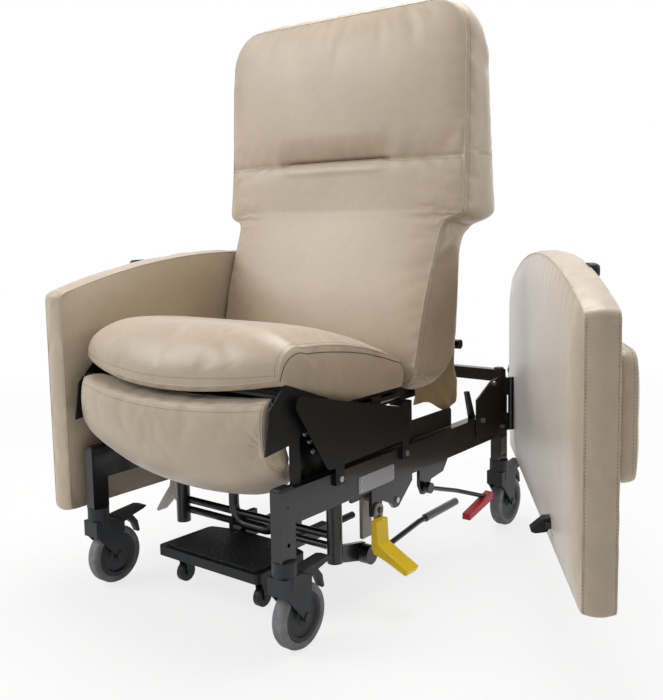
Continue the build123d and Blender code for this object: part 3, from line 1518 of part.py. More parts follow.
def taupe_lever():
    """The bent lever under the left rail, drawn on the right before it is mirrored."""
    x_low = lever_x()
    z = rail_bottom_z - lever_pin_drop
    y = taupe_lever_y + taupe_lever_width
    boss = rod_x(x_low, x_low + yellow_lever_thickness, y, z, pedal_boss_diameter)
    half = taupe_lever_width / 2
    neck = block(x_low, x_low + yellow_lever_thickness, y - taupe_lever_width, y, z - taupe_lever_width,
                 z - lever_pin_diameter)
    high = z - lever_pin_diameter - half / 2
    shares = [(0.0, 1), (0.34, 1), (0.4, 0.76), (0.8, 0.3), (1, 0.04), (0.94, 0), (0.62, 0.28), (0.3, 0.6),
              (0.16, 0.4), (-0.08, 0.46)]
    points = placed(shares, x_low - lever_pin_diameter, taupe_lever_reach, high - taupe_lever_height,
                    taupe_lever_height)
    body = plate_y(taupe_lever_y - half, taupe_lever_y + half, points)
    bore = rod_x(x_low - taupe_lever_width, x_low + taupe_lever_width, y, z,
                 lever_pin_diameter + 2 * running_clearance)
    return boss + neck + body - bore


def foot_rod():
    """The long rod that runs back from the hub on the pedal shaft."""
    hub = rod_x(foot_hub_x, foot_hub_x + foot_hub_width, foot_hub_y, foot_hub_z, foot_hub_diameter)
    hub -= rod_x(foot_hub_x - overrun, foot_hub_x + foot_hub_width + overrun, foot_hub_y, foot_hub_z,
                 foot_shaft_diameter + 2 * running_clearance)
    rod = bent_rod(foot_rod_points(), foot_rod_diameter, foot_rod_bend)
    bore = rod_x(foot_hub_x - overrun, foot_hub_x + foot_hub_width + overrun, foot_hub_y, foot_hub_z,
                 foot_shaft_diameter + foot_rod_diameter / 2)
    return hub + (rod - bore)


def foot_rod_points():
    """The foot rod's route from the hub to its end."""
    shares = [(0, 0), (0.23, -0.25), (0.57, 0.8), (1, 1)]
    x = foot_hub_x + foot_hub_width / 2
    return [(x, y, z) for y, z in placed(shares, foot_hub_y, foot_rod_length, foot_hub_z, foot_rod_rise)]


def foot_rod_sleeve():
    """The grey grip on the rear end of the foot rod, flattened at its tip."""
    start, end = foot_rod_points()[-2:]
    direction = Vector(*end) - Vector(*start)
    length = foot_sleeve_share * direction.length
    cap = foot_sleeve_diameter / 2
    plane = Plane(origin=Vector(*end) + direction.normalized() * (cap - length), z_dir=direction)
    grip = extrude(plane * Circle(cap), amount=length)
    return grip - extrude(plane * Circle(foot_rod_diameter / 2), amount=length - cap)


def red_lever_bar():
    """The cranked bar from the rear hanger's ear to the red pedal."""
    x_low = ear_outer_x() + bolt_head_height + side_gap
    middle_x = x_low + red_boss_width / 2
    boss = rod_x(x_low, x_low + red_boss_width, red_pivot_y, ear_z(), red_pivot_boss)
    route = [(middle_x, red_pivot_y, ear_z()),
             (middle_x, (red_pivot_y + red_end_y) / 2, (ear_z() + red_end_z) / 2),
             (red_end_x, red_end_y - red_pad_thickness, red_end_z)]
    pin = rod_x(side_inner_x + ear_inset, x_low + overrun, red_pivot_y, ear_z(),
                red_pivot_diameter - 2 * running_clearance)
    return boss + bent_rod(route, red_bar_diameter, red_pad_length) + pin


def red_pedal():
    """The red foot pedal, socketed on the end of the cranked bar."""
    half = red_pad_width / 2
    pad = plate_x(red_end_x - half, red_end_x + half, [
        (red_end_y, red_end_z + red_pad_thickness / 2),
        (red_end_y, red_end_z - red_pad_thickness / 2),
        (red_end_y - red_pad_length, red_end_z - red_pad_drop - red_pad_thickness / 2),
        (red_end_y - red_pad_length, red_end_z - red_pad_drop + red_pad_thickness / 4),
    ])
    return pad - red_lever_bar()


def caster_pieces():
    """The four casters, each a fork, hub, tyre and brake pedal."""
    pieces = {}
    shapes = {"caster_fork": caster_fork(), "caster_hub": caster_hub(), "caster_tyre": caster_tyre(),
              "brake_pedal": brake_pedal()}
    for name, shape in shapes.items():
        for end in ("front", "rear"):
            for side in ("right", "left"):
                pieces[f"{name}_{end}_{side}"] = at_post(shape, end == "front", side == "right")
    return pieces


def caster_collars():
    """The four fixed collars as separate solids of one node."""
    collar = caster_collar()
    return Compound([solid for front in (True, False) for right in (True, False)
                     for solid in at_post(collar, front, right).solids()])


def arm_pieces():
    """Both arms with their pads, fittings, latch hooks and release levers."""
    shapes = {"arm_panel": arm_panel(), "arm_pad": arm_pad(), "arm_fittings": arm_fittings(),
              "latch_hook": latch_hook(), "release_lever": release_lever()}
    return {f"{name}_{side}": arm_placed(shape, side == "right")
            for name, shape in shapes.items() for side in ("right", "left")}


def all_pieces():
    """Every node of the chair by its name."""
    frame = side_frame()
    brackets = Compound(rail_brackets().solids() + pedal_brackets().solids())
    pieces = {
        "side_frame_right": frame - accessory_bore(),
        "side_frame_left": mirrored(frame),
        "post_caps": post_caps(),
        "rear_cross_tube": rear_cross_tube(),
        "seat_support_frame": seat_support_frame(),
        "seat_pan": seat_pan(),
        "seat_cushion": seat_cushion(),
        "rail_brackets": brackets,
        "frame_fasteners": frame_fasteners(),
        "guard_plates": guard_plates(),
        "name_plate": name_plate(),
        "hinge_brackets": hinge_brackets(),
        "hinge_pins": hinge_pins(),
        "lower_frame": lower_frame(),
        "link_bar": link_bar(),
        "caster_collars": caster_collars(),
        "back_cushion": back_cushion(),
        "back_panel": back_panel(),
        "back_frame": back_frame(),
        "back_skirt": back_skirt(),
        "legrest_carrier": legrest_carrier(),
        "legrest_pad": legrest_pad(),
        "legrest_board": legrest_board(),
        "footplate_board": footplate_board(),
        "footplate_tread": footplate_tread(),
        "foot_wheel_right": Pos(foot_wheel_half_gap, 0, 0) * foot_wheel(),
        "foot_wheel_left": Pos(-foot_wheel_half_gap, 0, 0) * foot_wheel(),
        "yellow_lever": yellow_lever(),
        "yellow_pedal": yellow_pedal(),
        "taupe_lever": mirrored(taupe_lever()),
        "foot_rod": foot_rod(),
        "foot_rod_sleeve": foot_rod_sleeve(),
        "red_lever_bar": red_lever_bar(),
        "red_pedal": red_pedal(),
    }
    pieces.update(arm_pieces())
    pieces.update(caster_pieces())
    return pieces


def main():
    """Write one STEP file for each node."""
    os.makedirs("parts", exist_ok=True)
    for name, shape in all_pieces().items():
        export_step(shape, f"parts/{name}.step")


if __name__ == "__main__":
    main()
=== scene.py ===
"""Dresses the clinical recliner: upholstery, seams, finishes, floor, light and camera."""

import math

import bpy
import numpy as np
from mathutils import Matrix, Vector, noise
from mathutils.bvhtree import BVHTree


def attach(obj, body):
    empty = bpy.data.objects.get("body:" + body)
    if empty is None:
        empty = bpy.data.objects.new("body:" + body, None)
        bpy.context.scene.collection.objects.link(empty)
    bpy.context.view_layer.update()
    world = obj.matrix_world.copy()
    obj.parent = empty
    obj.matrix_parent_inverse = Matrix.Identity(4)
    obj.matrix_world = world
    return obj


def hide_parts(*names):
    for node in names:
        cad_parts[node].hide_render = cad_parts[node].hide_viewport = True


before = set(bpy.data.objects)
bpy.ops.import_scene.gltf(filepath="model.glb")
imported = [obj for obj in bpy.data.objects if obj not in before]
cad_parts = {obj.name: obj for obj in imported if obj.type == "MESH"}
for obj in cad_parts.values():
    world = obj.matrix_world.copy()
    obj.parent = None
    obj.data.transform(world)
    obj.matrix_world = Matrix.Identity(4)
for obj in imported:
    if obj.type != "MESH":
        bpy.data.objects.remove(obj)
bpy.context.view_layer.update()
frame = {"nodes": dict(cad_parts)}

bl_info = {
    "name": "Clinical recliner dressing",
    "version": (1, 0, 0),
    "blender": (4, 5, 0),
    "location": "View3D > Sidebar > Recliner",
    "description": "Upholstery, seams, finishes, floor, light and camera for a clinical recliner",
    "category": "Object",
}

MM = 0.001


# Places that the pieces share with the frame, in metres
arm_inner_x = 0.303
arm_outer_x = 0.359
hinge_place = Vector((0.291, 0.430, 0.0))
arm_open_angle = math.radians(32.5)
pan_top_z = 0.434
back_low_z = 0.430
back_height = 0.841
back_front_y = -0.005
back_depth = 0.250


# Shader sums

# Places of the Mix node's colours among its inputs and outputs.
mix_low = 6
mix_high = 7
mix_result = 2


def sum_method(operation, turned=False):
    """A method that adds a Math node, where the Value comes second if turned."""
    def method(self, other):
        return self.nodes.maths(operation, *((other, self) if turned else (self, other)))

    return method


class Value:
    """A shader socket that takes part in Python sums, where each sum adds its Math node."""

    def __init__(self, nodes, socket):
        self.nodes = nodes
        self.socket = socket

    __add__, __radd__ = sum_method("ADD"), sum_method("ADD", True)
    __sub__, __rsub__ = sum_method("SUBTRACT"), sum_method("SUBTRACT", True)
    __mul__, __rmul__ = sum_method("MULTIPLY"), sum_method("MULTIPLY", True)
    __pow__ = sum_method("POWER")

    def between(self, low, high):
        """The value as a share from low to high, kept from 0 to 1."""
        return self.nodes.maths("MULTIPLY", self - low, 1 / (high - low), clamp=True)


class Nodes:
    """A shader tree that grows node by node."""

    def __init__(self, tree):
        self.tree = tree

    def node(self, kind, settings, inputs, output=0):
        """Add one node with its settings and its sockets' values or links, and give one of its outputs."""
        made = self.tree.nodes.new(kind)
        for name, value in settings.items():
            setattr(made, name, value)
        self.feed(made, inputs)
        return Value(self, made.outputs[output])

    def feed(self, node, inputs):
        """Give sockets their values or links."""
        for key, value in inputs.items():
            if isinstance(value, Value):
                self.tree.links.new(value.socket, node.inputs[key])
            else:
                node.inputs[key].default_value = value

    def maths(self, operation, *values, clamp=False):
        """The result of one Math node."""
        settings = {"operation": operation, "use_clamp": clamp}
        return self.node("ShaderNodeMath", settings, dict(enumerate(values)))

    def ray(self, kind):
        """1 where the light is seen by one kind of ray, and 0 elsewhere."""
        return self.node("ShaderNodeLightPath", {}, {}, f"Is {kind} Ray")


class Finish(Nodes):
    """A material that is built round one Principled shader."""

    def __init__(self, name, constants):
        self.material = bpy.data.materials.new(name)
        self.material.use_nodes = True
        super().__init__(self.material.node_tree)
        self.shader = self.tree.nodes["Principled BSDF"]
        self.feed(self.shader, constants)
        self.place = self.node("ShaderNodeTexCoord", {}, {}, "Object")
        self.bumped = None

    def clouds(self, scale, detail=3.0, distortion=0.0, stretch=(1, 1, 1)):
        """Soft noise, in waves per metre, stretched along some axes."""
        place = self.place
        if stretch != (1, 1, 1):
            place = self.node("ShaderNodeMapping", {}, {"Vector": self.place, "Scale": stretch})
        inputs = {"Vector": place, "Scale": scale, "Detail": detail, "Distortion": distortion}
        return self.node("ShaderNodeTexNoise", {}, inputs)

    def cells(self, scale, feature="F1", randomness=1.0):
        """Distance to the nearest cell point, in cells per metre."""
        inputs = {"Vector": self.place, "Scale": scale, "Randomness": randomness}
        return self.node("ShaderNodeTexVoronoi", {"feature": feature}, inputs)

    def axis(self, name):
        """One coordinate of the place, in metres."""
        return self.node("ShaderNodeSeparateXYZ", {}, {0: self.place}, name)

    def folds(self, spots):
        """Small folds that gather towards spots, the same on both sides of the middle."""
        x = self.maths("ABSOLUTE", self.axis("X"))
        wander = self.clouds(30.0, 2.0)
        total = 0.0
        for (spot_x, spot_y, spot_z), reach, count, facing in spots:
            up = self.axis("Z") - spot_z
            along = self.axis("Y") - spot_y if facing == "side" else x - spot_x
            away = ((x - spot_x) ** 2.0 + (self.axis("Y") - spot_y) ** 2.0 + up ** 2.0) ** 0.5
            wave = self.maths("SINE", self.maths("ARCTAN2", up, along) * count + wander * 9.0)
            total = wave * (reach - away).between(0.0, reach) * away.between(0.0, 0.02) + total
        return total

    def tint(self, share, low, high):
        """A colour between two others."""
        inputs = {0: share, mix_low: low, mix_high: high}
        return self.node("ShaderNodeMix", {"data_type": "RGBA"}, inputs, mix_result)

    def shades(self, share, colour, low, high):
        """A display colour made darker or paler, from one share of it to another."""
        return self.tint(share, linear(colour, low), linear(colour, high))

    def bump(self, height, distance, strength=1.0):
        """Raise the surface by a height, over what is already raised."""
        inputs = {"Height": height, "Distance": distance, "Strength": strength}
        if self.bumped:
            inputs["Normal"] = self.bumped
        self.bumped = self.node("ShaderNodeBump", {}, inputs)
        self.feed(self.shader, {"Normal": self.bumped})

    def set(self, **sockets):
        """Feed the shader's sockets by their short names."""
        names = {"colour": "Base Color", "roughness": "Roughness", "coat": "Coat Weight"}
        self.feed(self.shader, {names[name]: value for name, value in sockets.items()})


def linear(colour, share=1.0):
    """A display colour as the linear colour that a shader takes, made darker or paler by a share."""
    channels = [((c + 0.055) / 1.055) ** 2.4 if c > 0.04 else c / 12.92 for c in colour]
    return (*[min(1.0, c * share) for c in channels], 1.0)


# Finishes

finishes = {}
# Where the cover gathers, in metres: place on the right side, reach, number of folds and face.
gathered_spots = (
    ((0.255, -0.440, 0.395), 0.085, 8, "front"),
    ((0.282, 0.020, 0.452), 0.070, 9, "side"),
    ((0.292, 0.110, 0.790), 0.080, 8, "side"),
)
rubbed_metal = (0.2, 0.2, 0.21, 1.0)


def vinyl(name, colour, wrinkle=1.0):
    """Supple coated upholstery cloth with a fine leather grain."""
    finish = Finish(name, {"Specular IOR Level": 0.5, "Coat Weight": 0.1, "Coat Roughness": 0.3,
                           "Sheen Weight": 0.55, "Sheen Roughness": 0.3})
    broad = finish.clouds(4.5, 3.0, 0.6)
    mottle = finish.clouds(55.0, 4.0)
    grain = finish.cells(620.0, "SMOOTH_F1")
    pores = finish.clouds(1500.0, 2.0)
    shade = (broad * 0.7 + mottle * 0.3).between(0.3, 0.7)
    finish.set(colour=finish.shades(shade, colour, 0.9, 1.1), roughness=0.3 + 0.12 * mottle + 0.1 * grain)
    finish.bump(finish.clouds(14.0, 2.0, 1.2), 0.0014 * wrinkle, 0.5)
    finish.bump(finish.folds(gathered_spots), 0.0015, 0.7)
    finish.bump(grain + 0.35 * pores, 0.00022, 0.6)
    return finish.material


def thread(name, colour):
    """Twisted sewing thread."""
    finish = Finish(name, {"Specular IOR Level": 0.3})
    ply = finish.clouds(2600.0, 2.0)
    finish.set(colour=finish.shades(ply, colour, 0.7, 1.15), roughness=0.62 + 0.2 * ply)
    finish.bump(ply, 0.00015, 0.7)
    return finish.material


def powder_coat(name, colour, roughness=0.24):
    """Black powder coat with a fine orange peel, dust low down and a few rubbed spots."""
    finish = Finish(name, {"Specular IOR Level": 0.42, "Coat Roughness": 0.1})
    peel = finish.clouds(420.0, 2.0)
    broad = finish.clouds(7.0, 3.0)
    scuff = finish.clouds(38.0, 6.0, 1.5).between(0.62, 0.72)
    dust = (0.35 - finish.axis("Z")).between(0.0, 0.5) * broad
    base = finish.shades(broad, colour, 0.8, 1.3)
    finish.set(colour=finish.tint(0.1 * scuff + 0.05 * dust, base, rubbed_metal),
               roughness=roughness + 0.12 * broad + 0.22 * scuff + 0.12 * dust, coat=0.3 - 0.25 * scuff)
    finish.bump(peel, 0.00012, 0.5)
    return finish.material


def moulded(name, colour, roughness=0.45, texture=900.0, wear=0.06):
    """Moulded plastic with an even fine texture and paler rubbed spots."""
    finish = Finish(name, {"Specular IOR Level": 0.32})
    fine = finish.clouds(texture, 2.0)
    broad = finish.clouds(12.0, 4.0)
    rub = finish.clouds(60.0, 5.0, 2.0).between(0.6, 0.72)
    base = finish.shades(broad, colour, 0.82, 1.15)
    paler = (*[0.6 * c + 0.12 for c in linear(colour)[:3]], 1.0)
    finish.set(colour=finish.tint(wear * rub, base, paler), roughness=roughness + 0.1 * broad + 0.15 * rub)
    finish.bump(fine, 0.00015, 0.5)
    return finish.material


def rubber(name, colour):
    """Dry rubber with dust and scuffs from rolling."""
    finish = Finish(name, {"Specular IOR Level": 0.35})
    fine = finish.clouds(700.0, 3.0)
    scuff = finish.clouds(45.0, 6.0, 1.0)
    shade = scuff.between(0.35, 0.7)
    finish.set(colour=finish.shades(shade, colour, 0.75, 1.2), roughness=0.7 + 0.15 * scuff)
    finish.bump(fine, 0.0002, 0.6)
    return finish.material


def pebbled(name, colour):
    """Rubber tread with raised pebbles."""
    finish = Finish(name, {"Specular IOR Level": 0.45})
    pebble = finish.cells(210.0, "SMOOTH_F1", 0.8)
    dust = finish.clouds(14.0, 4.0)
    finish.set(colour=finish.shades(0.4 * dust, colour, 1.0, 3.0), roughness=0.4 + 0.25 * dust)
    finish.bump((1.0 - pebble * 1.6).between(0.0, 1.0), 0.0012)
    return finish.material


def bare_metal(name, colour, roughness, speckle=0.0):
    """Bare or plated metal with fine scratches, and mottled like galvanised plate where speckled."""
    finish = Finish(name, {"Metallic": 1.0})
    drawn = finish.clouds(120.0, 3.0, 0.0, (1, 1, 9))
    shade = drawn * (1 - speckle) + finish.cells(900.0) * speckle
    finish.set(colour=finish.shades(shade.between(0.2, 0.8), colour, 0.65, 1.15),
               roughness=roughness + 0.16 * shade)
    finish.bump(shade, 0.00008, 0.6)
    return finish.material


def cast_paint(name, colour):
    """Thick grey-brown paint over a casting."""
    finish = Finish(name, {"Specular IOR Level": 0.55, "Metallic": 0.35})
    skin = finish.clouds(260.0, 4.0)
    finish.set(colour=finish.shades(finish.clouds(20.0, 4.0), colour, 0.75, 1.3), roughness=0.34 + 0.2 * skin)
    finish.bump(skin, 0.0002, 0.6)
    return finish.material


def make_finishes(colours):
    """Every finish by the name of its material slot."""
    finishes.update({
        "upholstery": vinyl("upholstery_vinyl", colours.vinyl),
        "skirt_cloth": vinyl("skirt_vinyl", colours.skirt, 2.0),
        "thread": thread("seam_thread", colours.thread),
        # Painted shadow: a dark thread finish for the tubes in the seat's side seams, standing for the shade
        # under the welts.
        "seam_shadow": thread("seam_shadow", colours.seam),
        "black_metal": powder_coat("black_powder_coat", colours.frame),
        "black_plastic": moulded("black_moulding", colours.black_plastic, 0.42),
        "caster_plastic": moulded("caster_moulding", colours.caster, 0.44),
        "hub_plastic": moulded("hub_moulding", colours.hub, 0.38),
        "tyre_grey": rubber("tyre_rubber", colours.tyre),
        "tread_rubber": pebbled("pebbled_tread", colours.tread),
        "yellow_plastic": moulded("yellow_moulding", colours.yellow, 0.26, 500.0, 0.1),
        "red_plastic": moulded("red_moulding", colours.red, 0.26, 500.0, 0.15),
        "lever_metal": cast_paint("lever_paint", colours.lever),
        "steel": bare_metal("bolt_steel", colours.steel, 0.2),
        "plate_metal": bare_metal("speckled_plate", colours.plate, 0.42, 0.8),
        "grip_grey": moulded("grip_sleeve", colours.grip, 0.25, 300.0, 0.1),
        "board": moulded("black_board", colours.frame, 0.6),
    })


# Mesh helpers


def add_object(name, data):
    """An object in the scene that shows a mesh, a lamp or a camera."""
    made = bpy.data.objects.new(name, data)
    bpy.context.scene.collection.objects.link(made)
    return made


def new_piece(name, points, faces, slot, finish=None, smooth=True):
    """A mesh object with its finish and material slot."""
    mesh = bpy.data.meshes.new(name)
    mesh.from_pydata([tuple(point) for point in points], [], faces)
    mesh.validate()
    mesh.update()
    mesh.polygons.foreach_set("use_smooth", [smooth] * len(mesh.polygons))
    piece = add_object(name, mesh)
    mesh.materials.append(finishes[finish or slot])
    return piece


def ring_faces(rings, sides, base=0, closed=False):
    """Faces between rings of points, closed into a loop or capped at both ends."""
    faces = []
    for ring in range(rings if closed else rings - 1):
        start, following = base + ring * sides, base + (ring + 1) % rings * sides
        for turn in range(sides):
            after = (turn + 1) % sides
            faces.append((start + turn, start + after, following + after, following + turn))
    if not closed:
        last = base + (rings - 1) * sides
        faces += [tuple(reversed(range(base, base + sides))), tuple(range(last, last + sides))]
    return faces


def circle_through(start, middle, end):
    """Centre and radius of the circle through three points."""
    (ax, ay), (bx, by), (cx, cy) = start, middle, end
    a, b, c = ax * ax + ay * ay, bx * bx + by * by, cx * cx + cy * cy
    d = 2 * (ax * (by - cy) + bx * (cy - ay) + cx * (ay - by))
    x = (a * (by - cy) + b * (cy - ay) + c * (ay - by)) / d
    y = (a * (cx - bx) + b * (ax - cx) + c * (bx - ax)) / d
    return x, y, math.hypot(ax - x, ay - y)


def arc_through(start, middle, end, count):
    """Points along the circle through three points, from start up to but without end."""
    x, y, radius = circle_through(start, middle, end)
    first, second, third = [math.atan2(py - y, px - x) for px, py in (start, middle, end)]
    to_middle, to_end = (second - first) % math.tau, (third - first) % math.tau
    if to_middle > to_end:
        to_end -= math.tau
    angles = [first + to_end * k / count for k in range(count)]
    return [(x + radius * math.cos(angle), y + radius * math.sin(angle)) for angle in angles]


def arc_about(y, z, radius, start, end, count):
    """Points on an arc about a centre, in the plane across x."""
    angles = [start + (end - start) * k / count for k in range(count + 1)]
    return [Vector((0, y + radius * math.cos(angle), z + radius * math.sin(angle))) for angle in angles]


def table_value(table, column, share):
    """A smooth value from rows of shares, the first column being the place along."""
    along = [row[0] for row in table]
    values = [row[column] for row in table]
    index = max(0, min(len(along) - 2, int(np.searchsorted(along, share)) - 1))
    step = along[index + 1] - along[index]
    t = min(1.0, max(0.0, (share - along[index]) / step))

    def slope(k):
        if k == 0 or k == len(along) - 1:
            return 0.0
        before = (values[k] - values[k - 1]) / (along[k] - along[k - 1])
        after = (values[k + 1] - values[k]) / (along[k + 1] - along[k])
        return 0.0 if before * after <= 0 else 2 * before * after / (before + after)

    a, b = values[index], values[index + 1]
    m0, m1 = slope(index) * step, slope(index + 1) * step
    return ((2 * t ** 3 - 3 * t ** 2 + 1) * a + (t ** 3 - 2 * t ** 2 + t) * m0
            + (3 * t ** 2 - 2 * t ** 3) * b + (t ** 3 - t ** 2) * m1)


# How far in from an edge the first lines of a grid lie, in metres.
edge_lines = (0.003, 0.008, 0.016)


def spread(length, step):
    """Shares from 0 to 1 along a length, close together near both ends and about a step apart between."""
    near = edge_lines[:-1]
    inner = length - 2 * edge_lines[-1]
    count = max(2, round(inner / step))
    middle = [edge_lines[-1] + inner * k / count for k in range(count + 1)]
    far = [length - edge for edge in reversed(near)]
    return [place / length for place in (0.0, *near, *middle, *far, length)]


def rim(columns, rows):
    """Indices round the edge of a grid with that many columns and rows, as (column, row)."""
    path = [(i, 0) for i in range(columns)]
    path += [(columns - 1, j) for j in range(1, rows)]
    path += [(i, rows - 1) for i in range(columns - 2, -1, -1)]
    path += [(0, j) for j in range(rows - 2, 0, -1)]
    return path


# Where a border is lower than this, it stands out less.
full_stand_depth = 0.03


class Pillow:
    """A closed cushion: two faces as grids of points, joined round their rims by border loops."""

    def __init__(self, top, bottom, border):
        self.columns, self.rows = len(top), len(top[0])
        self.points = []
        self.faces = []
        self.top = self.add_grid(top, 1)
        self.bottom = self.add_grid(bottom, -1)
        self.rim = rim(self.columns, self.rows)
        self.top_rim = [self.top[i][j] for i, j in self.rim]
        self.bottom_rim = [self.bottom[i][j] for i, j in self.rim]
        self.border = [self.add_loop(share, stand) for share, stand in border]
        loops = [self.top_rim, *self.border, self.bottom_rim]
        for upper, lower in zip(loops, loops[1:]):
            for k in range(len(upper)):
                following = (k + 1) % len(upper)
                self.faces.append((upper[k], lower[k], lower[following], upper[following]))

    def add_grid(self, grid, sense):
        """Add a grid's points, and its faces turned one way or the other, and return its indices."""
        first = len(self.points)
        self.points += [Vector(point) for column in grid for point in column]
        index = [[first + i * self.rows + j for j in range(self.rows)] for i in range(self.columns)]
        for left, right in zip(index, index[1:]):
            for j in range(self.rows - 1):
                self.faces.append((left[j], right[j], right[j + 1], left[j + 1])[::sense])
        return index

    def add_loop(self, share, stand):
        """Add a loop's points, a share of the way down and standing out, and return its indices."""
        first = len(self.points)
        high = [self.points[k] for k in self.top_rim]
        low = [self.points[k] for k in self.bottom_rim]
        count = len(high)
        centre = sum(high, Vector()) / count
        for k in range(count):
            across = low[k] - high[k]
            out = (high[(k + 1) % count] - high[k - 1]).cross(across).normalized()
            if out.dot(high[k] - centre) < 0:
                out.negate()
            full = min(1.0, across.length / full_stand_depth)
            self.points.append(high[k] + across * share + out * stand * full)
        return list(range(first, first + count))

    def piece(self, name, transform=None):
        """The cushion as a mesh object with its faces outwards, moved by a matrix."""
        points = [transform @ point for point in self.points] if transform else self.points
        piece = new_piece(name, points, self.faces, "upholstery")
        volume = 0.0
        for polygon in piece.data.polygons:
            first, *others = [points[k] for k in polygon.vertices]
            volume += sum(first.dot(second.cross(third)) for second, third in zip(others, others[1:]))
        if volume < 0:
            piece.data.flip_normals()
        return piece

    def base(self):
        """Every index of the bottom face, which rests on a board."""
        return [index for column in self.bottom for index in column]

    def side(self, column, loop):
        """Indices of one border loop along the first or the last column."""
        return [index for index, (i, _) in zip(self.border[loop], self.rim) if i == column]


swell_frames = 20
cover_cloth = {"quality": 5, "mass": 0.3, "tension_stiffness": 15.0, "compression_stiffness": 15.0,
               "bending_stiffness": 0.6, "use_pressure": True, "vertex_group_mass": "held",
               "pin_stiffness": 1.0}


def swell(piece, held, pressure, cap, slack):
    """Fill a cushion like foam under its cover, held along its seams, no point moving further than cap."""
    start = np.array([v.co for v in piece.data.vertices])
    group = piece.vertex_groups.new(name="held")
    group.add(sorted(set(held)), 1.0, "REPLACE")
    cloth = piece.modifiers.new("swell", "CLOTH")
    for name, value in cover_cloth.items():
        setattr(cloth.settings, name, value)
    cloth.settings.uniform_pressure_force = pressure
    cloth.settings.shrink_min = -slack
    cloth.settings.effector_weights.gravity = 0.0
    cloth.point_cache.frame_start = 1
    cloth.point_cache.frame_end = swell_frames
    scene = bpy.context.scene
    for number in range(1, swell_frames + 1):
        scene.frame_set(number)
    evaluated = piece.evaluated_get(bpy.context.evaluated_depsgraph_get())
    moved = np.array([v.co for v in evaluated.data.vertices])
    piece.modifiers.remove(cloth)
    piece.vertex_groups.remove(group)
    way = moved - start
    length = np.linalg.norm(way, axis=1, keepdims=True)
    kept = cap * np.tanh(length / cap) / np.maximum(length, 1e-9)
    piece.data.vertices.foreach_set("co", (start + way * kept).astype(np.float32).ravel())
    piece.data.update()
    scene.frame_set(1)


def subdivide(piece, levels=2):
    """Round a cushion's mesh."""
    modifier = piece.modifiers.new("round", "SUBSURF")
    modifier.levels = modifier.render_levels = levels


def surface_of(piece):
    """The finished surface of a piece, to lay seams and stitches on."""
    bpy.context.view_layer.update()
    return BVHTree.FromObject(piece, bpy.context.evaluated_depsgraph_get())


def places(piece, indices):
    """Where some of a piece's vertices are."""
    return [piece.data.vertices[index].co.copy() for index in indices]


class Path:
    """A line through points, which gives the point at a share of its length."""

    def __init__(self, points):
        self.points = points
        self.reached = [0.0]
        for a, b in zip(points, points[1:]):
            self.reached.append(self.reached[-1] + (b - a).length)
        self.length = self.reached[-1]

    def __call__(self, share):
        target = share * self.length
        index = max(0, min(len(self.points) - 2, int(np.searchsorted(self.reached, target)) - 1))
        span = self.reached[index + 1] - self.reached[index]
        passed = (target - self.reached[index]) / span if span else 0.0
        return self.points[index].lerp(self.points[index + 1], passed)


def even(points, step, closed=False):
    """Points an even step apart along a path."""
    path = Path([*points, points[0]] if closed else points)
    count = max(1, int(path.length / step))
    return [path(k / count) for k in range(count if closed else count + 1)]


def laid(path, surface, lift=0.0):
    """Points of a path brought onto a surface, with the surface's normal at each."""
    found = [surface.find_nearest(point)[:2] for point in path]
    return [(place + normal * lift, normal) for place, normal in found]


stitch_length = 3.4 * MM
stitch_radius = 0.55 * MM
# Rings of a stitch: place along its length and share of its radius.
stitch_rings = ((-0.5, 0.35), (-0.3, 1.0), (0.3, 1.0), (0.5, 0.35))
stitch_sides = 6


def stitches(name, path, surface, pitch=5.0 * MM, closed=False):
    """A row of stitches along a path on a surface, each a small rounded bar."""
    along = laid(even(path, pitch / 2, closed), surface)
    points, faces = [], []
    for (start, up), (end, _) in zip(along[0::2], along[1::2]):
        way = end - start
        if way.length < stitch_radius:
            continue
        way.normalize()
        side = way.cross(up).normalized()
        middle = (start + end) / 2
        faces += ring_faces(len(stitch_rings), stitch_sides, len(points))
        for place, scale in stitch_rings:
            for turn in range(stitch_sides):
                angle = math.tau * turn / stitch_sides
                offset = (side * math.cos(angle) + up * math.sin(angle) * 0.8) * stitch_radius
                points.append(middle + way * stitch_length * place + offset * scale)
    return new_piece(name, points, faces, "upholstery", "thread")


tube_sides = 8


def tube(name, path, radius, finish, closed=False):
    """A round bead of upholstery swept along a path."""
    count = len(path)
    points = []
    side = None
    for k, point in enumerate(path):
        before = path[k - 1] if closed or k > 0 else point
        after = path[(k + 1) % count] if closed or k < count - 1 else point
        way = (after - before).normalized()
        if side is None:
            side = way.orthogonal().normalized()
        side = (side - way * side.dot(way)).normalized()
        up = way.cross(side)
        for turn in range(tube_sides):
            angle = math.tau * turn / tube_sides
            points.append(point + side * math.cos(angle) * radius + up * math.sin(angle) * radius)
    return new_piece(name, points, ring_faces(count, tube_sides, 0, closed), "upholstery", finish)


def welt(name, path, surface, radius=1.5 * MM, closed=False):
    """The raised fold of a seam, laid along a path on a surface."""
    route = [place for place, _ in laid(even(path, 6 * MM, closed), surface, -radius * 0.25)]
    for _ in range(2):
        kept = route[:]
        for k in range(len(route)):
            if closed or 0 < k < len(route) - 1:
                route[k] = (kept[k - 1] + kept[k] * 2 + kept[(k + 1) % len(kept)]) / 4
    return tube(name, route, radius, "upholstery", closed)


def ride_all(body, pieces):
    """Every piece moves with one body."""
    for piece in pieces:
        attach(piece, body)


def blended_patch(left, right, low, high, u_shares, v_shares):
    """A grid of points inside four edges, where left and right run up and low and high run across."""
    low_left, low_right, high_left, high_right = left(0.0), right(0.0), left(1.0), right(1.0)
    grid = []
    for u in u_shares:
        column = []
        for v in v_shares:
            across = left(v) * (1 - u) + right(v) * u
            upright = low(u) * (1 - v) + high(u) * v
            flat = (low_left * (1 - u) + low_right * u) * (1 - v)
            flat += (high_left * (1 - u) + high_right * u) * v
            column.append(across + upright - flat)
        grid.append(column)
    return grid


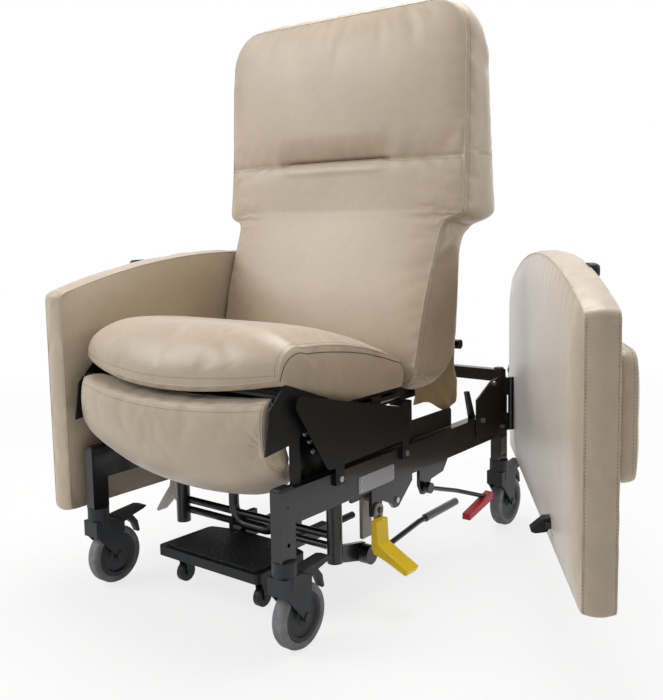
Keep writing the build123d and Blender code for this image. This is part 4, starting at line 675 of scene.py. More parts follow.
def crowned_slab(edges, shares, faces, steep, border):
    """A closed slab between two faces that fill the same edges, each with its x and its crown."""
    grids = []
    for x, crown in faces:
        grid = blended_patch(*edges, *shares)
        for i, u in enumerate(shares[0]):
            for j, v in enumerate(shares[1]):
                rise = min(1.0, steep[0] * min(u, 1 - u)) * min(1.0, steep[1] * min(v, 1 - v))
                grid[i][j].x = x + crown * math.sin(rise * math.pi / 2)
        grids.append(grid)
    return Pillow(*grids, border)


section_step = 0.014


def sections(half_width, section):
    """Two grids of points from the two lines in y and z that a section gives at each x."""
    grids = [], []
    for u in spread(2 * half_width, section_step):
        x = (2 * u - 1) * half_width
        for grid, line in zip(grids, section(x)):
            grid.append([Vector((x, y, z)) for y, z in line])
    return grids


# Seat cushion

seat_half_width = 0.269
seat_front_y = -0.419
seat_rear_y = -0.030
seat_bend_y = -0.232
seat_bow = 0.050
seat_lip_rise = 0.067
seat_lip_drop = 0.024
seat_nose_length = 0.066
seat_nose_height = 0.120
seat_rear_height = 0.064
seat_crown = 0.034
seat_crown_width = 0.273
seat_crown_power = 6
seat_lip_inset = 0.004
seat_bulge_shares = (0.10, 0.62)
seat_crest_rise = 0.012
seat_heel_shares = (0.4, 0.1, 0.14)
seat_edge_lift = 0.0005
seat_edge_y = -0.385
seat_slack = 0.010
# Rows of a border: share of the way from face to face, and how far it stands out.
seat_border = [(0.04, 0.002), (0.12, 0.004), (0.3, 0.005), (0.5, 0.005), (0.7, 0.005),
               (0.88, 0.003), (0.97, 0.001)]


def seat_slope(y):
    """Height of the seat board's top at a place."""
    return pan_top_z + max(0.0, (seat_bend_y - y) / (seat_bend_y - seat_front_y)) * seat_lip_rise


def seat_section(x):
    """The cover at one x, from the lip seam over the nose to the rear, and its underside, as (y, z)."""
    share = min(1.0, (x / seat_half_width) ** 2)
    full = 1 - abs(x / seat_crown_width) ** seat_crown_power
    front = seat_front_y - seat_bow * (1 - share)
    lip = seat_slope(seat_front_y) - seat_lip_drop * (1 - share) - seat_lip_inset
    top = pan_top_z + seat_nose_height + seat_crown * full
    rear_top = pan_top_z + seat_rear_height + seat_crown / 2 * full
    nose_y = seat_front_y + seat_nose_length
    bulge = (front + seat_bulge_shares[0] * (nose_y - front), lip + seat_bulge_shares[1] * (top - lip))
    nose = (nose_y, top)
    crest = ((nose_y + seat_rear_y) / 2, (top + rear_top) / 2 + seat_crest_rise)
    corner, middle_in, middle_down = [share * seat_rear_height for share in seat_heel_shares]
    heel = (seat_rear_y - corner, rear_top)
    heel_middle = (seat_rear_y - middle_in, rear_top - middle_down)
    heel_low = (seat_rear_y, rear_top - corner)
    line = arc_through((front + 0.003, lip + 0.010), bulge, nose, 12)
    line += arc_through(nose, crest, heel, 22)
    line += arc_through(heel, heel_middle, heel_low, 5) + [heel_low]
    under = Path([Vector((front + 0.010, lip - 0.001))]
                 + [Vector((y, seat_slope(y) + seat_edge_lift))
                    for y in (seat_edge_y, seat_bend_y, seat_rear_y)])
    return line, [under(k / (len(line) - 1)) for k in range(len(line))]


def build_seat(settings):
    """The seat cushion with its side seams, welts, stitches and painted shadow lines in the side seams."""
    form = Pillow(*sections(seat_half_width, seat_section), seat_border)
    piece = form.piece("seat_cover")
    swell(piece, form.top_rim + form.base(), settings.pressure, settings.seat_cap, seat_slack)
    subdivide(piece)
    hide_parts("seat_cushion")
    surface = surface_of(piece)
    pieces = [piece]
    last = form.columns - 1
    for side, column, inner in (("left", 0, 2), ("right", last, last - 2)):
        # Painted shadow: a thin dark tube in each side seam, below the welt, stands for the shade there.
        groove_shadow_path = [place for place, _ in laid(places(piece, form.side(column, 1)), surface, -0.2 * MM)]
        pieces.append(welt(f"seat_welt_{side}", places(piece, form.top[column]), surface))
        pieces.append(tube(f"seat_groove_shadow_{side}", groove_shadow_path, 0.9 * MM, "seam_shadow"))
        pieces.append(stitches(f"seat_stitches_{side}", places(piece, form.top[inner]), surface))
    pieces.append(welt("seat_welt_lip", places(piece, [column[0] for column in form.top]), surface))
    pieces.append(stitches("seat_stitches_lip", places(piece, [column[1] for column in form.top]), surface))
    ride_all("frame", pieces)


# Legrest

legrest_half_width = 0.255
legrest_rear_y = -0.387
legrest_front_y = -0.447
legrest_bow = 0.040
legrest_top_z = 0.470
legrest_dip = 0.014
legrest_height = 0.233
legrest_sweep = 0.147
legrest_knee_z = 0.382
legrest_belly_share = 0.12
legrest_heel_share = 0.034
legrest_slack = 0.010
legrest_border = [(0.05, 0.002), (0.16, 0.004), (0.4, 0.005), (0.65, 0.004), (0.88, 0.002)]
# Rows of place across, and shares of the height and of the sweep to the rear.
legrest_shares = [(0.0, 1.0, 1.0), (0.5, 0.95, 0.95), (0.79, 0.82, 0.78), (0.93, 0.71, 0.57),
                  (0.985, 0.61, 0.4), (1.0, 0.57, 0.33)]


def legrest_section(x):
    """The pad at one x, front and rear, from the top seam to the lower rim, as (y, z)."""
    across = abs(x) / legrest_half_width
    drop = table_value(legrest_shares, 1, across)
    sweep = table_value(legrest_shares, 2, across)
    front = legrest_front_y - legrest_bow * (1 - across ** 2)
    top = legrest_top_z - legrest_dip * (1 - across ** 2)
    low = legrest_top_z - legrest_height * drop
    toe = legrest_front_y + legrest_sweep * sweep
    brow = (front + 0.001, top - 0.014)
    knee = (front, legrest_knee_z)
    bulge = legrest_belly_share * (toe - front)
    belly = ((front + toe) / 2 - bulge, (legrest_knee_z + low) / 2 - bulge)
    toe_point = (toe, low + 0.004)
    line = [(front + 0.006, top - 0.003), brow]
    line += arc_through(brow, (front - 0.003, (brow[1] + knee[1]) / 2), knee, 5)[1:]
    line += arc_through(knee, belly, toe_point, 12) + [toe_point]
    heel = Vector((max(toe, legrest_rear_y) + 0.0085, low + legrest_heel_share * drop))
    rear = Path([Vector((legrest_rear_y, top - 0.003)), Vector((legrest_rear_y, legrest_knee_z)), heel])
    return line, [rear(k / (len(line) - 1)) for k in range(len(line))]


def build_legrest(settings):
    """The legrest pad, bowed in front, with its top seam, end seams and gathered corners."""
    form = Pillow(*sections(legrest_half_width, legrest_section), legrest_border)
    piece = form.piece("legrest_cover")
    swell(piece, form.top_rim + form.base(), settings.pressure, settings.legrest_cap, legrest_slack)
    subdivide(piece)
    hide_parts("legrest_pad")
    surface = surface_of(piece)
    seams = (("top", [column[0] for column in form.top], [column[1] for column in form.top]),
             ("left", form.top[0], form.top[1]), ("right", form.top[-1], form.top[-2]))
    pieces = [piece]
    for name, seam, beside in seams:
        pieces.append(welt(f"legrest_welt_{name}", places(piece, seam), surface))
        pieces.append(stitches(f"legrest_stitches_{name}", places(piece, beside), surface))
    ride_all("legrest", pieces)


# Back cushion

back_half_width = 0.279
back_flare = 0.062
back_seam_share = 0.583
back_top_share = 0.981
# Rows of height share, widening as a share of the flare, and depth shares of the front and the rear.
back_shares = [
    (0.0, -0.06, 0.04, 0.47),
    (0.03, 0.02, 0.015, 0.55),
    (0.08, 0.065, 0.042, 0.68),
    (0.21, 0.145, 0.14, 0.7),
    (0.32, 0.21, 0.266, 0.7),
    (0.375, 0.24, 0.338, 0.757),
    (0.395, 0.26, 0.365, 0.85),
    (0.41, 0.32, 0.385, 0.92),
    (0.42, 0.42, 0.40, 0.96),
    (0.427, 0.6, 0.412, 0.985),
    (0.431, 0.83, 0.418, 0.99),
    (0.437, 0.965, 0.424, 0.99),
    (0.445, 1.0, 0.431, 0.99),
    (0.589, 0.99, 0.48, 0.955),
    (0.82, 0.975, 0.518, 0.9),
    (0.879, 0.95, 0.535, 0.88),
    (1.0, 0.94, 0.56, 0.83),
]
back_top_corner = 0.086
back_rear_corner = 0.112
back_low_corner = 0.030
back_crown = 0.016
back_rear_crown = 0.004
back_rear_drop = 0.006
# The arms press the sides flat below this height.
arm_gap_half = 0.2955
arm_gap_top = 0.700
tuck_half_width = 0.158
tuck_depth = 0.013
crease_depth = 0.012
# How far above and below the cross seam the face is drawn in.
seam_reach = 0.06
# The pull at the seam: reach of the crease and of the tuck below and above, and the fold under the tuck.
crease_reach = 0.005
tuck_reach_low = 0.015
tuck_reach_high = 0.030
fold_below = 0.016
fold_reach = 0.010
fold_height = 0.006
shallow_crease = 0.003
seam_lift = 0.007
back_grid_length = 0.6
back_grid_step = 0.0155
back_slack = 0.012
back_border = [(0.03, 0.003), (0.08, 0.006), (0.2, 0.011), (0.35, 0.014), (0.5, 0.015), (0.65, 0.014),
               (0.8, 0.012), (0.92, 0.007), (0.97, 0.004)]


def back_half_width_at(share):
    """Half the back's width at a share of its height, without its rounded corners."""
    return back_half_width + table_value(back_shares, 1, share) * back_flare


def steps_between(low, high, count):
    """Evenly spaced values after low, up to but without high."""
    return [low + (high - low) * k / count for k in range(1, count)]


def back_rows():
    """Shares of the back's height at which the grid has its rows, close together about the cross seam."""
    beside = (-0.034, -0.024, -0.015, -0.008, -0.003, 0.0, 0.003, 0.008, 0.015, 0.024, 0.034)
    seam_rows = [back_seam_share + step / back_height for step in beside]
    low = [0.0, 0.004, 0.010, 0.020, 0.035, *steps_between(0.035, 0.36, 20), 0.36]
    waist = [0.37, 0.38, 0.39, 0.399, 0.407, 0.413, 0.418, 0.422, 0.4255, 0.429, 0.4325, 0.436, 0.44, 0.446,
             0.453, 0.462, *steps_between(0.462, seam_rows[0], 7)]
    head = [*steps_between(seam_rows[-1], 0.905, 18), 0.905, 0.922, 0.938, 0.951, 0.962, 0.970, 0.976]
    return low + waist + seam_rows + head + [back_top_share]


def cut_corner(share, half, radius):
    """The half width that the rounded top and bottom corners leave at a share of the height."""
    rise = share * back_height - (back_top_share * back_height - radius)
    drop = back_low_corner - share * back_height
    if rise > 0:
        return half - min(radius * 0.98, radius - math.sqrt(radius ** 2 - min(radius, rise) ** 2))
    if drop > 0:
        return half - back_low_corner + math.sqrt(back_low_corner ** 2 - drop ** 2)
    return half


def back_face(rows, across, rear):
    """The grid of the back's front or rear face."""
    grid = []
    for u in across:
        s = 2 * u - 1
        column = []
        for share in rows:
            half = cut_corner(share, back_half_width_at(share), back_rear_corner if rear else back_top_corner)
            y = back_front_y + table_value(back_shares, 3 if rear else 2, share) * back_depth
            z = back_low_z + share * back_height
            bulge = (1 - s * s) * min(1.0, share / 0.06, (back_top_share - share) / 0.05)
            if rear:
                y += back_rear_crown * bulge
                z -= back_rear_drop * min(1.0, max(0.0, (share - 0.8) / 0.18))
            else:
                y -= back_crown * bulge
            column.append(Vector((s * half, y, z)))
        grid.append(column)
    return grid


def hump(distance, width):
    """A smooth hump of height 1."""
    return math.exp(-(distance / width) ** 2)


def seam_pull(x, above):
    """How the cross seam moves the face: in and up, deep along the tuck and slight beyond it."""
    tuck = min(1.0, max(0.0, 0.5 + (tuck_half_width - abs(x)) / 0.048)) ** 2
    fine = hump(above, crease_reach)
    broad = hump(above, tuck_reach_low if above < 0 else tuck_reach_high)
    fold = hump(above + fold_below, fold_reach)
    deep = tuck_depth * broad + crease_depth * fine - fold_height * fold
    sink = tuck * deep + (1 - tuck) * shallow_crease * fine
    return Vector((0, sink, tuck * seam_lift * hump(above + seam_lift, seam_lift)))


def build_back(settings):
    """The T-shaped back cushion with its box border, cross seam and tuck."""
    rows = back_rows()
    across = spread(back_grid_length, back_grid_step)
    form = Pillow(back_face(rows, across, False), back_face(rows, across, True), back_border)
    piece = form.piece("back_cover")
    seam_row = rows.index(back_seam_share)
    held = form.top_rim + form.bottom_rim + [column[seam_row] for column in form.top]
    swell(piece, held, settings.pressure, settings.back_cap, back_slack)
    vertices = piece.data.vertices
    for column in form.top[1:-1]:
        for share, index in zip(rows, column):
            above = (share - back_seam_share) * back_height
            if abs(above) < seam_reach:
                vertices[index].co += seam_pull(vertices[index].co.x, above)
    for vertex in vertices:
        limit = arm_gap_half + max(0.0, vertex.co.z - arm_gap_top)
        vertex.co.x = max(-limit, min(limit, vertex.co.x))
    subdivide(piece)
    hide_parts("back_cushion")
    surface = surface_of(piece)
    low_row = places(piece, [column[seam_row - 2] for column in form.top])
    cross = places(piece, [column[seam_row] for column in form.top])
    pieces = [piece, welt("back_welt_front", places(piece, form.top_rim), surface, closed=True),
              stitches("back_stitches_front", places(piece, form.border[1]), surface, closed=True),
              welt("back_welt_rear", places(piece, form.bottom_rim), surface, closed=True),
              stitches("back_stitches_cross", low_row, surface)]
    for side, sign in (("left", -1), ("right", 1)):
        path = [place for place in cross if sign * place.x > tuck_half_width]
        pieces.append(welt(f"back_welt_cross_{side}", path, surface, 1.1 * MM))
    ride_all("back", pieces)


# Arms

arm_front_y = -0.453
arm_rear_y = 0.601
arm_low_z = 0.174
arm_front_z = 0.640
arm_crest = (0.080, 0.710)
arm_rear_z = 0.607
arm_front_corner = 0.014
arm_rear_corner = 0.090
# The arm's slab and its bolster: x of both faces and how much each bulges.
arm_faces = ((arm_inner_x + 0.004, -0.003), (arm_outer_x + 0.002, 0.003))
pad_faces = ((arm_outer_x + 0.032, 0.010), (arm_outer_x + 0.004, 0.0))
pad_front_y = -0.432
pad_length = 0.314
pad_low_z = 0.370
pad_height = 0.208
pad_corner = 0.034
arm_slack = 0.006
arm_border = [(0.06, 0.001), (0.15, 0.003), (0.32, 0.005), (0.5, 0.0055), (0.68, 0.005), (0.85, 0.003),
              (0.94, 0.001)]
pad_border = [(0.2, 0.002), (0.45, 0.0035), (0.7, 0.0035), (0.88, 0.002)]
arm_grid_length = 1.05
arm_grid_height = 0.5
arm_grid_step = 0.021
pad_grid_step = 0.016


def corner_circle(arch, edge_y, radius, inward):
    """Centre of a corner between an upright edge and the arch, and the angle where it meets the arch."""
    centre_y, centre_z, arch_radius = arch
    y = edge_y + inward * radius
    z = centre_z + math.sqrt((arch_radius - radius) ** 2 - (y - centre_y) ** 2)
    return y, z, math.atan2(z - centre_z, y - centre_y)


def arm_edges():
    """The arm's four edges as paths: front and rear edge upwards, bottom and arch to the rear."""
    arch = circle_through((arm_front_y, arm_front_z), arm_crest, (arm_rear_y, arm_rear_z))
    fy, fz, f_angle = corner_circle(arch, arm_front_y, arm_front_corner, 1)
    ry, rz, r_angle = corner_circle(arch, arm_rear_y, arm_rear_corner, -1)
    f_half, r_half = (f_angle + math.pi) / 2, r_angle / 2
    front = [Vector((0, arm_front_y, arm_low_z)), *arc_about(fy, fz, arm_front_corner, math.pi, f_half, 4)]
    rear = [Vector((0, arm_rear_y, arm_low_z)), *arc_about(ry, rz, arm_rear_corner, 0, r_half, 8)]
    high = arc_about(fy, fz, arm_front_corner, f_half, f_angle, 4)
    high += arc_about(*arch, f_angle, r_angle, 40)[1:]
    high += arc_about(ry, rz, arm_rear_corner, r_angle, r_half, 8)[1:]
    return [Path(points) for points in (front, rear, [front[0], rear[0]], high)]


def arm_form():
    """The right arm's slab, closed, before it swells."""
    shares = spread(arm_grid_length, arm_grid_step), spread(arm_grid_height, arm_grid_step)
    return crowned_slab(arm_edges(), shares, arm_faces, (12, 8), arm_border)


def pad_form():
    """The bolster pad on the right arm's outer face, before it swells."""
    y0, y1 = pad_front_y + pad_corner, pad_front_y + pad_length - pad_corner
    z0, z1 = pad_low_z + pad_corner, pad_low_z + pad_height - pad_corner

    def eighths(y, z, start):
        return arc_about(y, z, pad_corner, start * math.pi / 4, (start + 1) * math.pi / 4, 6)

    left = eighths(y0, z0, 4)[::-1] + eighths(y0, z1, 3)[::-1]
    right = eighths(y1, z0, -1) + eighths(y1, z1, 0)
    low = eighths(y0, z0, 5) + eighths(y1, z0, -2)
    high = eighths(y0, z1, 2)[::-1] + eighths(y1, z1, 1)[::-1]
    edges = [Path(points) for points in (left, right, low, high)]
    shares = spread(pad_length, pad_grid_step), spread(pad_height, pad_grid_step)
    return crowned_slab(edges, shares, pad_faces, (6, 5), pad_border)


def arm_transform(right):
    """Where a closed right arm's piece goes: turned open on the right, mirrored on the left."""
    if right:
        return (Matrix.Translation(hinge_place) @ Matrix.Rotation(arm_open_angle, 4, "Z")
                @ Matrix.Translation(-hinge_place))
    return Matrix.Scale(-1, 4, (1, 0, 0))


def build_arm(settings, right):
    """One padded arm with its bolster, seams and stitches."""
    side = "right" if right else "left"
    form = arm_form()
    slab = form.piece(f"arm_cover_{side}", arm_transform(right))
    swell(slab, form.top_rim + form.bottom_rim, settings.pressure, settings.arm_cap, arm_slack)
    subdivide(slab)
    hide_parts(f"arm_panel_{side}")
    surface = surface_of(slab)
    pieces = [slab]
    # Stitches show down the front edge, which ends the way round the rim.
    front_edge = 2 * form.columns + form.rows - 3
    for edge, seam, beside in (("inner", form.top_rim, form.border[0]),
                               ("outer", form.bottom_rim, form.border[-1])):
        row = places(slab, beside[front_edge:] + beside[:1])
        pieces.append(welt(f"arm_welt_{edge}_{side}", places(slab, seam), surface, 1.4 * MM, closed=True))
        pieces.append(stitches(f"arm_stitches_{edge}_{side}", row, surface, 6 * MM))
    pad = pad_form()
    bolster = pad.piece(f"arm_bolster_{side}", arm_transform(right))
    swell(bolster, pad.top_rim + pad.base(), settings.pressure, settings.pad_cap, arm_slack)
    subdivide(bolster)
    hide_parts(f"arm_pad_{side}")
    surface = surface_of(bolster)
    row = places(bolster, pad.border[0])
    pieces += [bolster,
               welt(f"bolster_welt_{side}", places(bolster, pad.top_rim), surface, 1.2 * MM, closed=True),
               stitches(f"bolster_stitches_{side}", row, surface, 6 * MM, closed=True)]
    ride_all(f"arm_{side}", pieces)


# Skirt

skirt_half_width = 0.2485
skirt_front_y = 0.050
skirt_rear_y = 0.240
skirt_corner = 0.022
skirt_rows = 26
skirt_top_z = 0.434
skirt_low_z = 0.384
skirt_rise = 0.050
skirt_fall = 0.036
skirt_flare = 0.009
skirt_step = 0.006
skirt_thickness = 1.2 * MM


def skirt_route():
    """The skirt's line in plan, from the front of the left side round the rear to the front of the right."""
    x, y = skirt_half_width - skirt_corner, skirt_rear_y - skirt_corner
    corner = arc_about(x, y, skirt_corner, 0, math.pi / 2, 6)
    right = [Vector((skirt_half_width, skirt_front_y, 0))] + [Vector((p.y, p.z, 0)) for p in corner]
    return [Vector((-p.x, p.y, 0)) for p in right] + right[::-1]


def skirt_place(place, out, travelled, down):
    """A point of the skirt, at a share of the way down below a place on its route."""
    depth = (place.y - skirt_front_y) / (skirt_rear_y - skirt_front_y)
    high = skirt_top_z + skirt_rise * min(1.0, max(0.0, (depth - 0.35) / 0.3))
    ripple = 0.006 * math.sin(travelled * 47 + 2) + 0.005 * noise.noise(Vector((travelled * 26, 0.5, 7.0)))
    low = skirt_low_z - skirt_fall * min(1.0, depth * 1.3) + ripple
    z = high + (low - high) * down
    fold = math.sin(travelled * 52 + z * 62 + 1.8 * math.sin(travelled * 15))
    fold += 0.45 * math.sin(travelled * 128 - z * 70 + 3 * down)
    size = 0.0008 + (0.0016 + 0.0028 * abs(out.y)) * min(1.0, 1.5 * down)
    tuck = noise.noise(Vector((travelled * 24, z * 38, 3.1)))
    flare = skirt_flare * down * abs(out.y)
    return place + out * (fold * size + tuck * 0.0015 + flare) + Vector((0, 0, z))


def build_skirt():
    """The cloth skirt that hangs from the back's lower edge."""
    route = even(skirt_route(), skirt_step)
    path = Path(route)
    points = []
    for i, place in enumerate(route):
        ahead = route[min(i + 1, len(route) - 1)] - route[max(i - 1, 0)]
        out = Vector((-ahead.y, ahead.x, 0)).normalized()
        points += [skirt_place(place, out, path.reached[i], j / (skirt_rows - 1)) for j in range(skirt_rows)]
    corners = [i * skirt_rows + j for i in range(len(route) - 1) for j in range(skirt_rows - 1)]
    faces = [(a, a + 1, a + skirt_rows + 1, a + skirt_rows) for a in corners]
    piece = new_piece("skirt_cloth", points, faces, "skirt_cloth")
    solid = piece.modifiers.new("thick", "SOLIDIFY")
    solid.thickness = skirt_thickness
    solid.offset = 0.0
    subdivide(piece, 1)
    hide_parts("back_skirt")
    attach(piece, "back")


# Inner plates, with outlines and bolt places in y and z. The wide black linkage plate is partly painted
# shade: it fills the shaded space under the seat.

# Painted shade: this wide black plate stands for the linkages and also fills the shaded space under the seat,
# behind the legrest.
linkage_shade_plate = [(-0.352, 0.396), (-0.352, 0.306), (-0.344, 0.282), (-0.318, 0.270), (-0.298, 0.268),
                 (-0.140, 0.275), (-0.130, 0.285), (-0.130, 0.400), (-0.341, 0.400)]
rail_strip = [(-0.255, 0.3085), (0.185, 0.3085), (0.185, 0.346), (0.179, 0.352), (-0.247, 0.352),
              (-0.255, 0.344)]
linkage_bolts = [(-0.322, 0.389), (-0.309, 0.372), (-0.300, 0.351), (-0.165, 0.300)]
linkage_shade_plate_x = 0.243
strip_x = 0.2605
bolt_x = 0.2461
linkage_shade_plate_thickness = 3.0 * MM
strip_thickness = 2.5 * MM
bolt_radius = 4.6 * MM
bolt_height = 3.6 * MM
bolt_sides = 18
# A socket screw on its washer: shares of its height and of its radius.
bolt_rings = [(0.0, 1.35), (0.25, 1.35), (0.25, 1.0), (0.9, 1.0), (1.0, 0.88), (1.0, 0.5), (0.45, 0.5)]


def soften(piece, width, segments=3, angle=38):
    """Round the edges of a piece that are sharper than an angle, with a width in millimetres."""
    bevel = piece.modifiers.new("soft_edges", "BEVEL")
    bevel.width = width * MM
    bevel.segments = segments
    bevel.limit_method = "ANGLE"
    bevel.angle_limit = math.radians(angle)


def plate(name, outline, x, thickness):
    """A flat plate with an outline in y and z, on the right side or mirrored where x is below 0."""
    side = 1 if x > 0 else -1
    points = [(place, y, z) for place in (x, x + side * thickness) for y, z in outline]
    faces = [face[::side] for face in ring_faces(2, len(outline))]
    piece = new_piece(name, points, faces, "black_metal", smooth=False)
    soften(piece, 0.7, segments=2, angle=30)
    return piece


def bolt_heads(name, bolts, x):
    """Socket screws on washers along one plane, facing outwards."""
    side = 1 if x > 0 else -1
    points, faces = [], []
    for y, z in bolts:
        faces += [face[::side] for face in ring_faces(len(bolt_rings), bolt_sides, len(points))]
        for out, share in bolt_rings:
            ring = arc_about(y, z, bolt_radius * share, 0, math.tau, bolt_sides)[:-1]
            points += [(x + side * out * bolt_height, point.y, point.z) for point in ring]
    return new_piece(name, points, faces, "steel", smooth=False)


def build_plates():
    """Black linkage plates beside the seat frame, which also paint the shade of the space under the seat, and
    strips on the rails, with their screws.
    """
    pieces = []
    for side, sign in (("right", 1), ("left", -1)):
        pieces += [plate(f"linkage_shade_plate_{side}", linkage_shade_plate, sign * linkage_shade_plate_x, linkage_shade_plate_thickness),
                   plate(f"rail_strip_{side}", rail_strip, sign * strip_x, strip_thickness),
                   bolt_heads(f"linkage_bolts_{side}", linkage_bolts, sign * bolt_x)]
    ride_all("frame", pieces)


# Frame finishes, by the start of a node's name

finished_nodes = {
    "black_metal": ("side_frame", "rear_cross", "seat_support", "rail_brackets", "hinge_brackets",
                    "lower_frame", "back_frame", "legrest_carrier", "red_lever", "foot_rod", "arm_fittings"),
    "black_plastic": ("post_caps", "guard_plates", "latch_hook", "release_lever", "footplate_board",
                      "foot_wheel", "back_panel"),
    "board": ("seat_pan", "legrest_board"),
    "steel": ("frame_fasteners", "hinge_pins"),
    "lever_metal": ("link_bar", "yellow_lever", "taupe_lever"),
    "caster_plastic": ("caster_collars", "caster_fork", "brake_pedal"),
    "grip_grey": ("foot_rod_sleeve",),
    "plate_metal": ("name_plate",),
    "yellow_plastic": ("yellow_pedal",),
    "red_plastic": ("red_pedal",),
    "tread_rubber": ("footplate_tread",),
    "hub_plastic": ("caster_hub",),
    "tyre_grey": ("caster_tyre",),
}
node_finishes = {start: finish for finish, starts in finished_nodes.items() for start in starts}
# Widths of the softened edges, in millimetres.
soft_edges = {
    "rear_cross": 1.2, "post_caps": 0.8, "guard_plates": 0.7, "caster_fork": 0.7, "brake_pedal": 1.4,
    "caster_tyre": 1.6, "caster_hub": 0.5, "yellow_pedal": 2.2, "red_pedal": 2.6, "footplate_board": 3.0,
    "release_lever": 1.8, "latch_hook": 1.6, "taupe_lever": 1.6, "yellow_lever": 1.0, "frame_fasteners": 0.5,
    "name_plate": 0.25, "rail_brackets": 0.7, "hinge_brackets": 0.7, "footplate_tread": 0.8,
    "caster_collars": 1.2, "back_frame": 0.8, "seat_support": 1.2, "lower_frame": 0.8, "foot_wheel": 1.0,
    "red_lever": 0.8, "arm_fittings": 0.5, "link_bar": 0.8, "legrest_carrier": 0.6, "back_panel": 1.5,
}


def longest_match(table, name):
    """The entry whose key is the longest that a node's name starts with."""
    found = [key for key in table if name.startswith(key)]
    return table[max(found, key=len)] if found else None


def finish_node(name, node):
    """Give a frame node its finish and softly rounded edges."""
    finish = longest_match(node_finishes, name)
    if finish is None:
        return
    node.data.materials.clear()
    node.data.materials.append(finishes[finish])
    width = longest_match(soft_edges, name)
    if width:
        merge = node.modifiers.new("merge", "WELD")
        merge.merge_threshold = 0.00001
        soften(node, width)
        node.modifiers.new("even_shading", "WEIGHTED_NORMAL")


# Stage

camera_place = Vector((1.2904, -1.5669, 0.7821))
camera_azimuth = math.radians(38.1)
camera_pitch = math.radians(6.2)
camera_roll = math.radians(-1.1)
focal_px = 887.3
picture_height_px = 700
centre_above_px = 32
sensor_width = 36.0
floor_half_width = 30.0
# Distances from the middle between which the floor fades to plain white.
fade_start = 1.3
fade_end = 3.0
white = (1, 1, 1, 1)


def stage_camera():
    """The camera at the photograph's place."""
    a, e, r = camera_azimuth, camera_pitch, camera_roll
    forward = Vector((-math.sin(a) * math.cos(e), math.cos(a) * math.cos(e), -math.sin(e)))
    level = Vector((math.cos(a), math.sin(a), 0))
    up = level.cross(forward)
    right = level * math.cos(r) + up * math.sin(r)
    above = up * math.cos(r) - level * math.sin(r)
    data = bpy.data.cameras.new("view")
    data.sensor_width = sensor_width
    data.lens = focal_px / picture_height_px * sensor_width
    data.shift_y = -centre_above_px / picture_height_px
    data.clip_end = 100.0
    camera = add_object("view", data)
    turned = Matrix((right, above, -forward)).transposed().to_4x4()
    camera.matrix_world = Matrix.Translation(camera_place) @ turned
    bpy.context.scene.camera = camera


def stage_floor(settings):
    """A wide pale floor that keeps the object's shadow and fades to white further out."""
    half = floor_half_width
    corners = [(-half, -half, 0), (half, -half, 0), (half, half, 0), (-half, half, 0)]
    mesh = bpy.data.meshes.new("floor")
    mesh.from_pydata(corners, [], [(0, 1, 2, 3)])
    floor = add_object("floor", mesh)
    finish = Finish("floor_pale", {"Roughness": 0.6, "Specular IOR Level": 0.2,
                                   "Base Color": (*settings.floor_colour, 1.0)})
    glow = finish.node("ShaderNodeEmission", {}, {"Color": white, "Strength": 1.0})
    seen = (finish.ray("Camera") + finish.ray("Glossy") + finish.ray("Transmission")).between(0.0, 1.0)
    away = (finish.axis("X") ** 2.0 + finish.axis("Y") ** 2.0) ** 0.5
    share = settings.floor_glow + away.between(fade_start, fade_end) * (1 - settings.floor_glow)
    lit = Value(finish, finish.shader.outputs[0])
    mix = finish.node("ShaderNodeMixShader", {}, {0: seen * share, 1: lit, 2: glow})
    finish.feed(finish.tree.nodes["Material Output"], {"Surface": mix})
    mesh.materials.append(finish.material)


def stage_lights(settings):
    """A large soft key from the left, one above, a weak one at the right rear, and a white sky."""
    world = bpy.data.worlds.new("sky")
    bpy.context.scene.world = world
    world.use_nodes = True
    nodes = Nodes(world.node_tree)
    dim, bright = [nodes.node("ShaderNodeBackground", {}, {"Color": white, "Strength": strength})
                   for strength in (settings.sky, 1.0)]
    seen = nodes.maths("MAXIMUM", nodes.ray("Camera"), nodes.ray("Glossy"))
    mix = nodes.node("ShaderNodeMixShader", {}, {0: seen, 1: dim, 2: bright})
    nodes.feed(nodes.tree.nodes["World Output"], {"Surface": mix})
    for name, place, target, size, power in (
            ("key", (-2.3, -2.5, 2.6), (0, 0, 0.5), 2.2, settings.key),
            ("top", (0.0, 0.6, 3.0), (0, 0, 0.4), 2.0, settings.top),
            ("side", (2.6, 1.3, 1.5), (0, 0, 0.9), 1.5, settings.side)):
        data = bpy.data.lights.new(name, "AREA")
        data.size = size
        data.energy = power
        lamp = add_object(name, data)
        lamp.location = place
        lamp.rotation_euler = (Vector(target) - Vector(place)).to_track_quat("-Z", "Y").to_euler()
    bpy.context.scene.view_settings.view_transform = "Standard"


# Settings, operators and panel


def colour_setting(name, owner, default):
    """The colour of something as a property, given as it shows."""
    return bpy.props.FloatVectorProperty(name=name, description=f"Colour of {owner}", default=default, size=3,
                                         min=0.0, max=1.0, subtype="COLOR_GAMMA")


def number_setting(name, description, default, **kind):
    """A number property with its unit or subtype."""
    return bpy.props.FloatProperty(name=name, description=description, default=default, min=0.0, **kind)


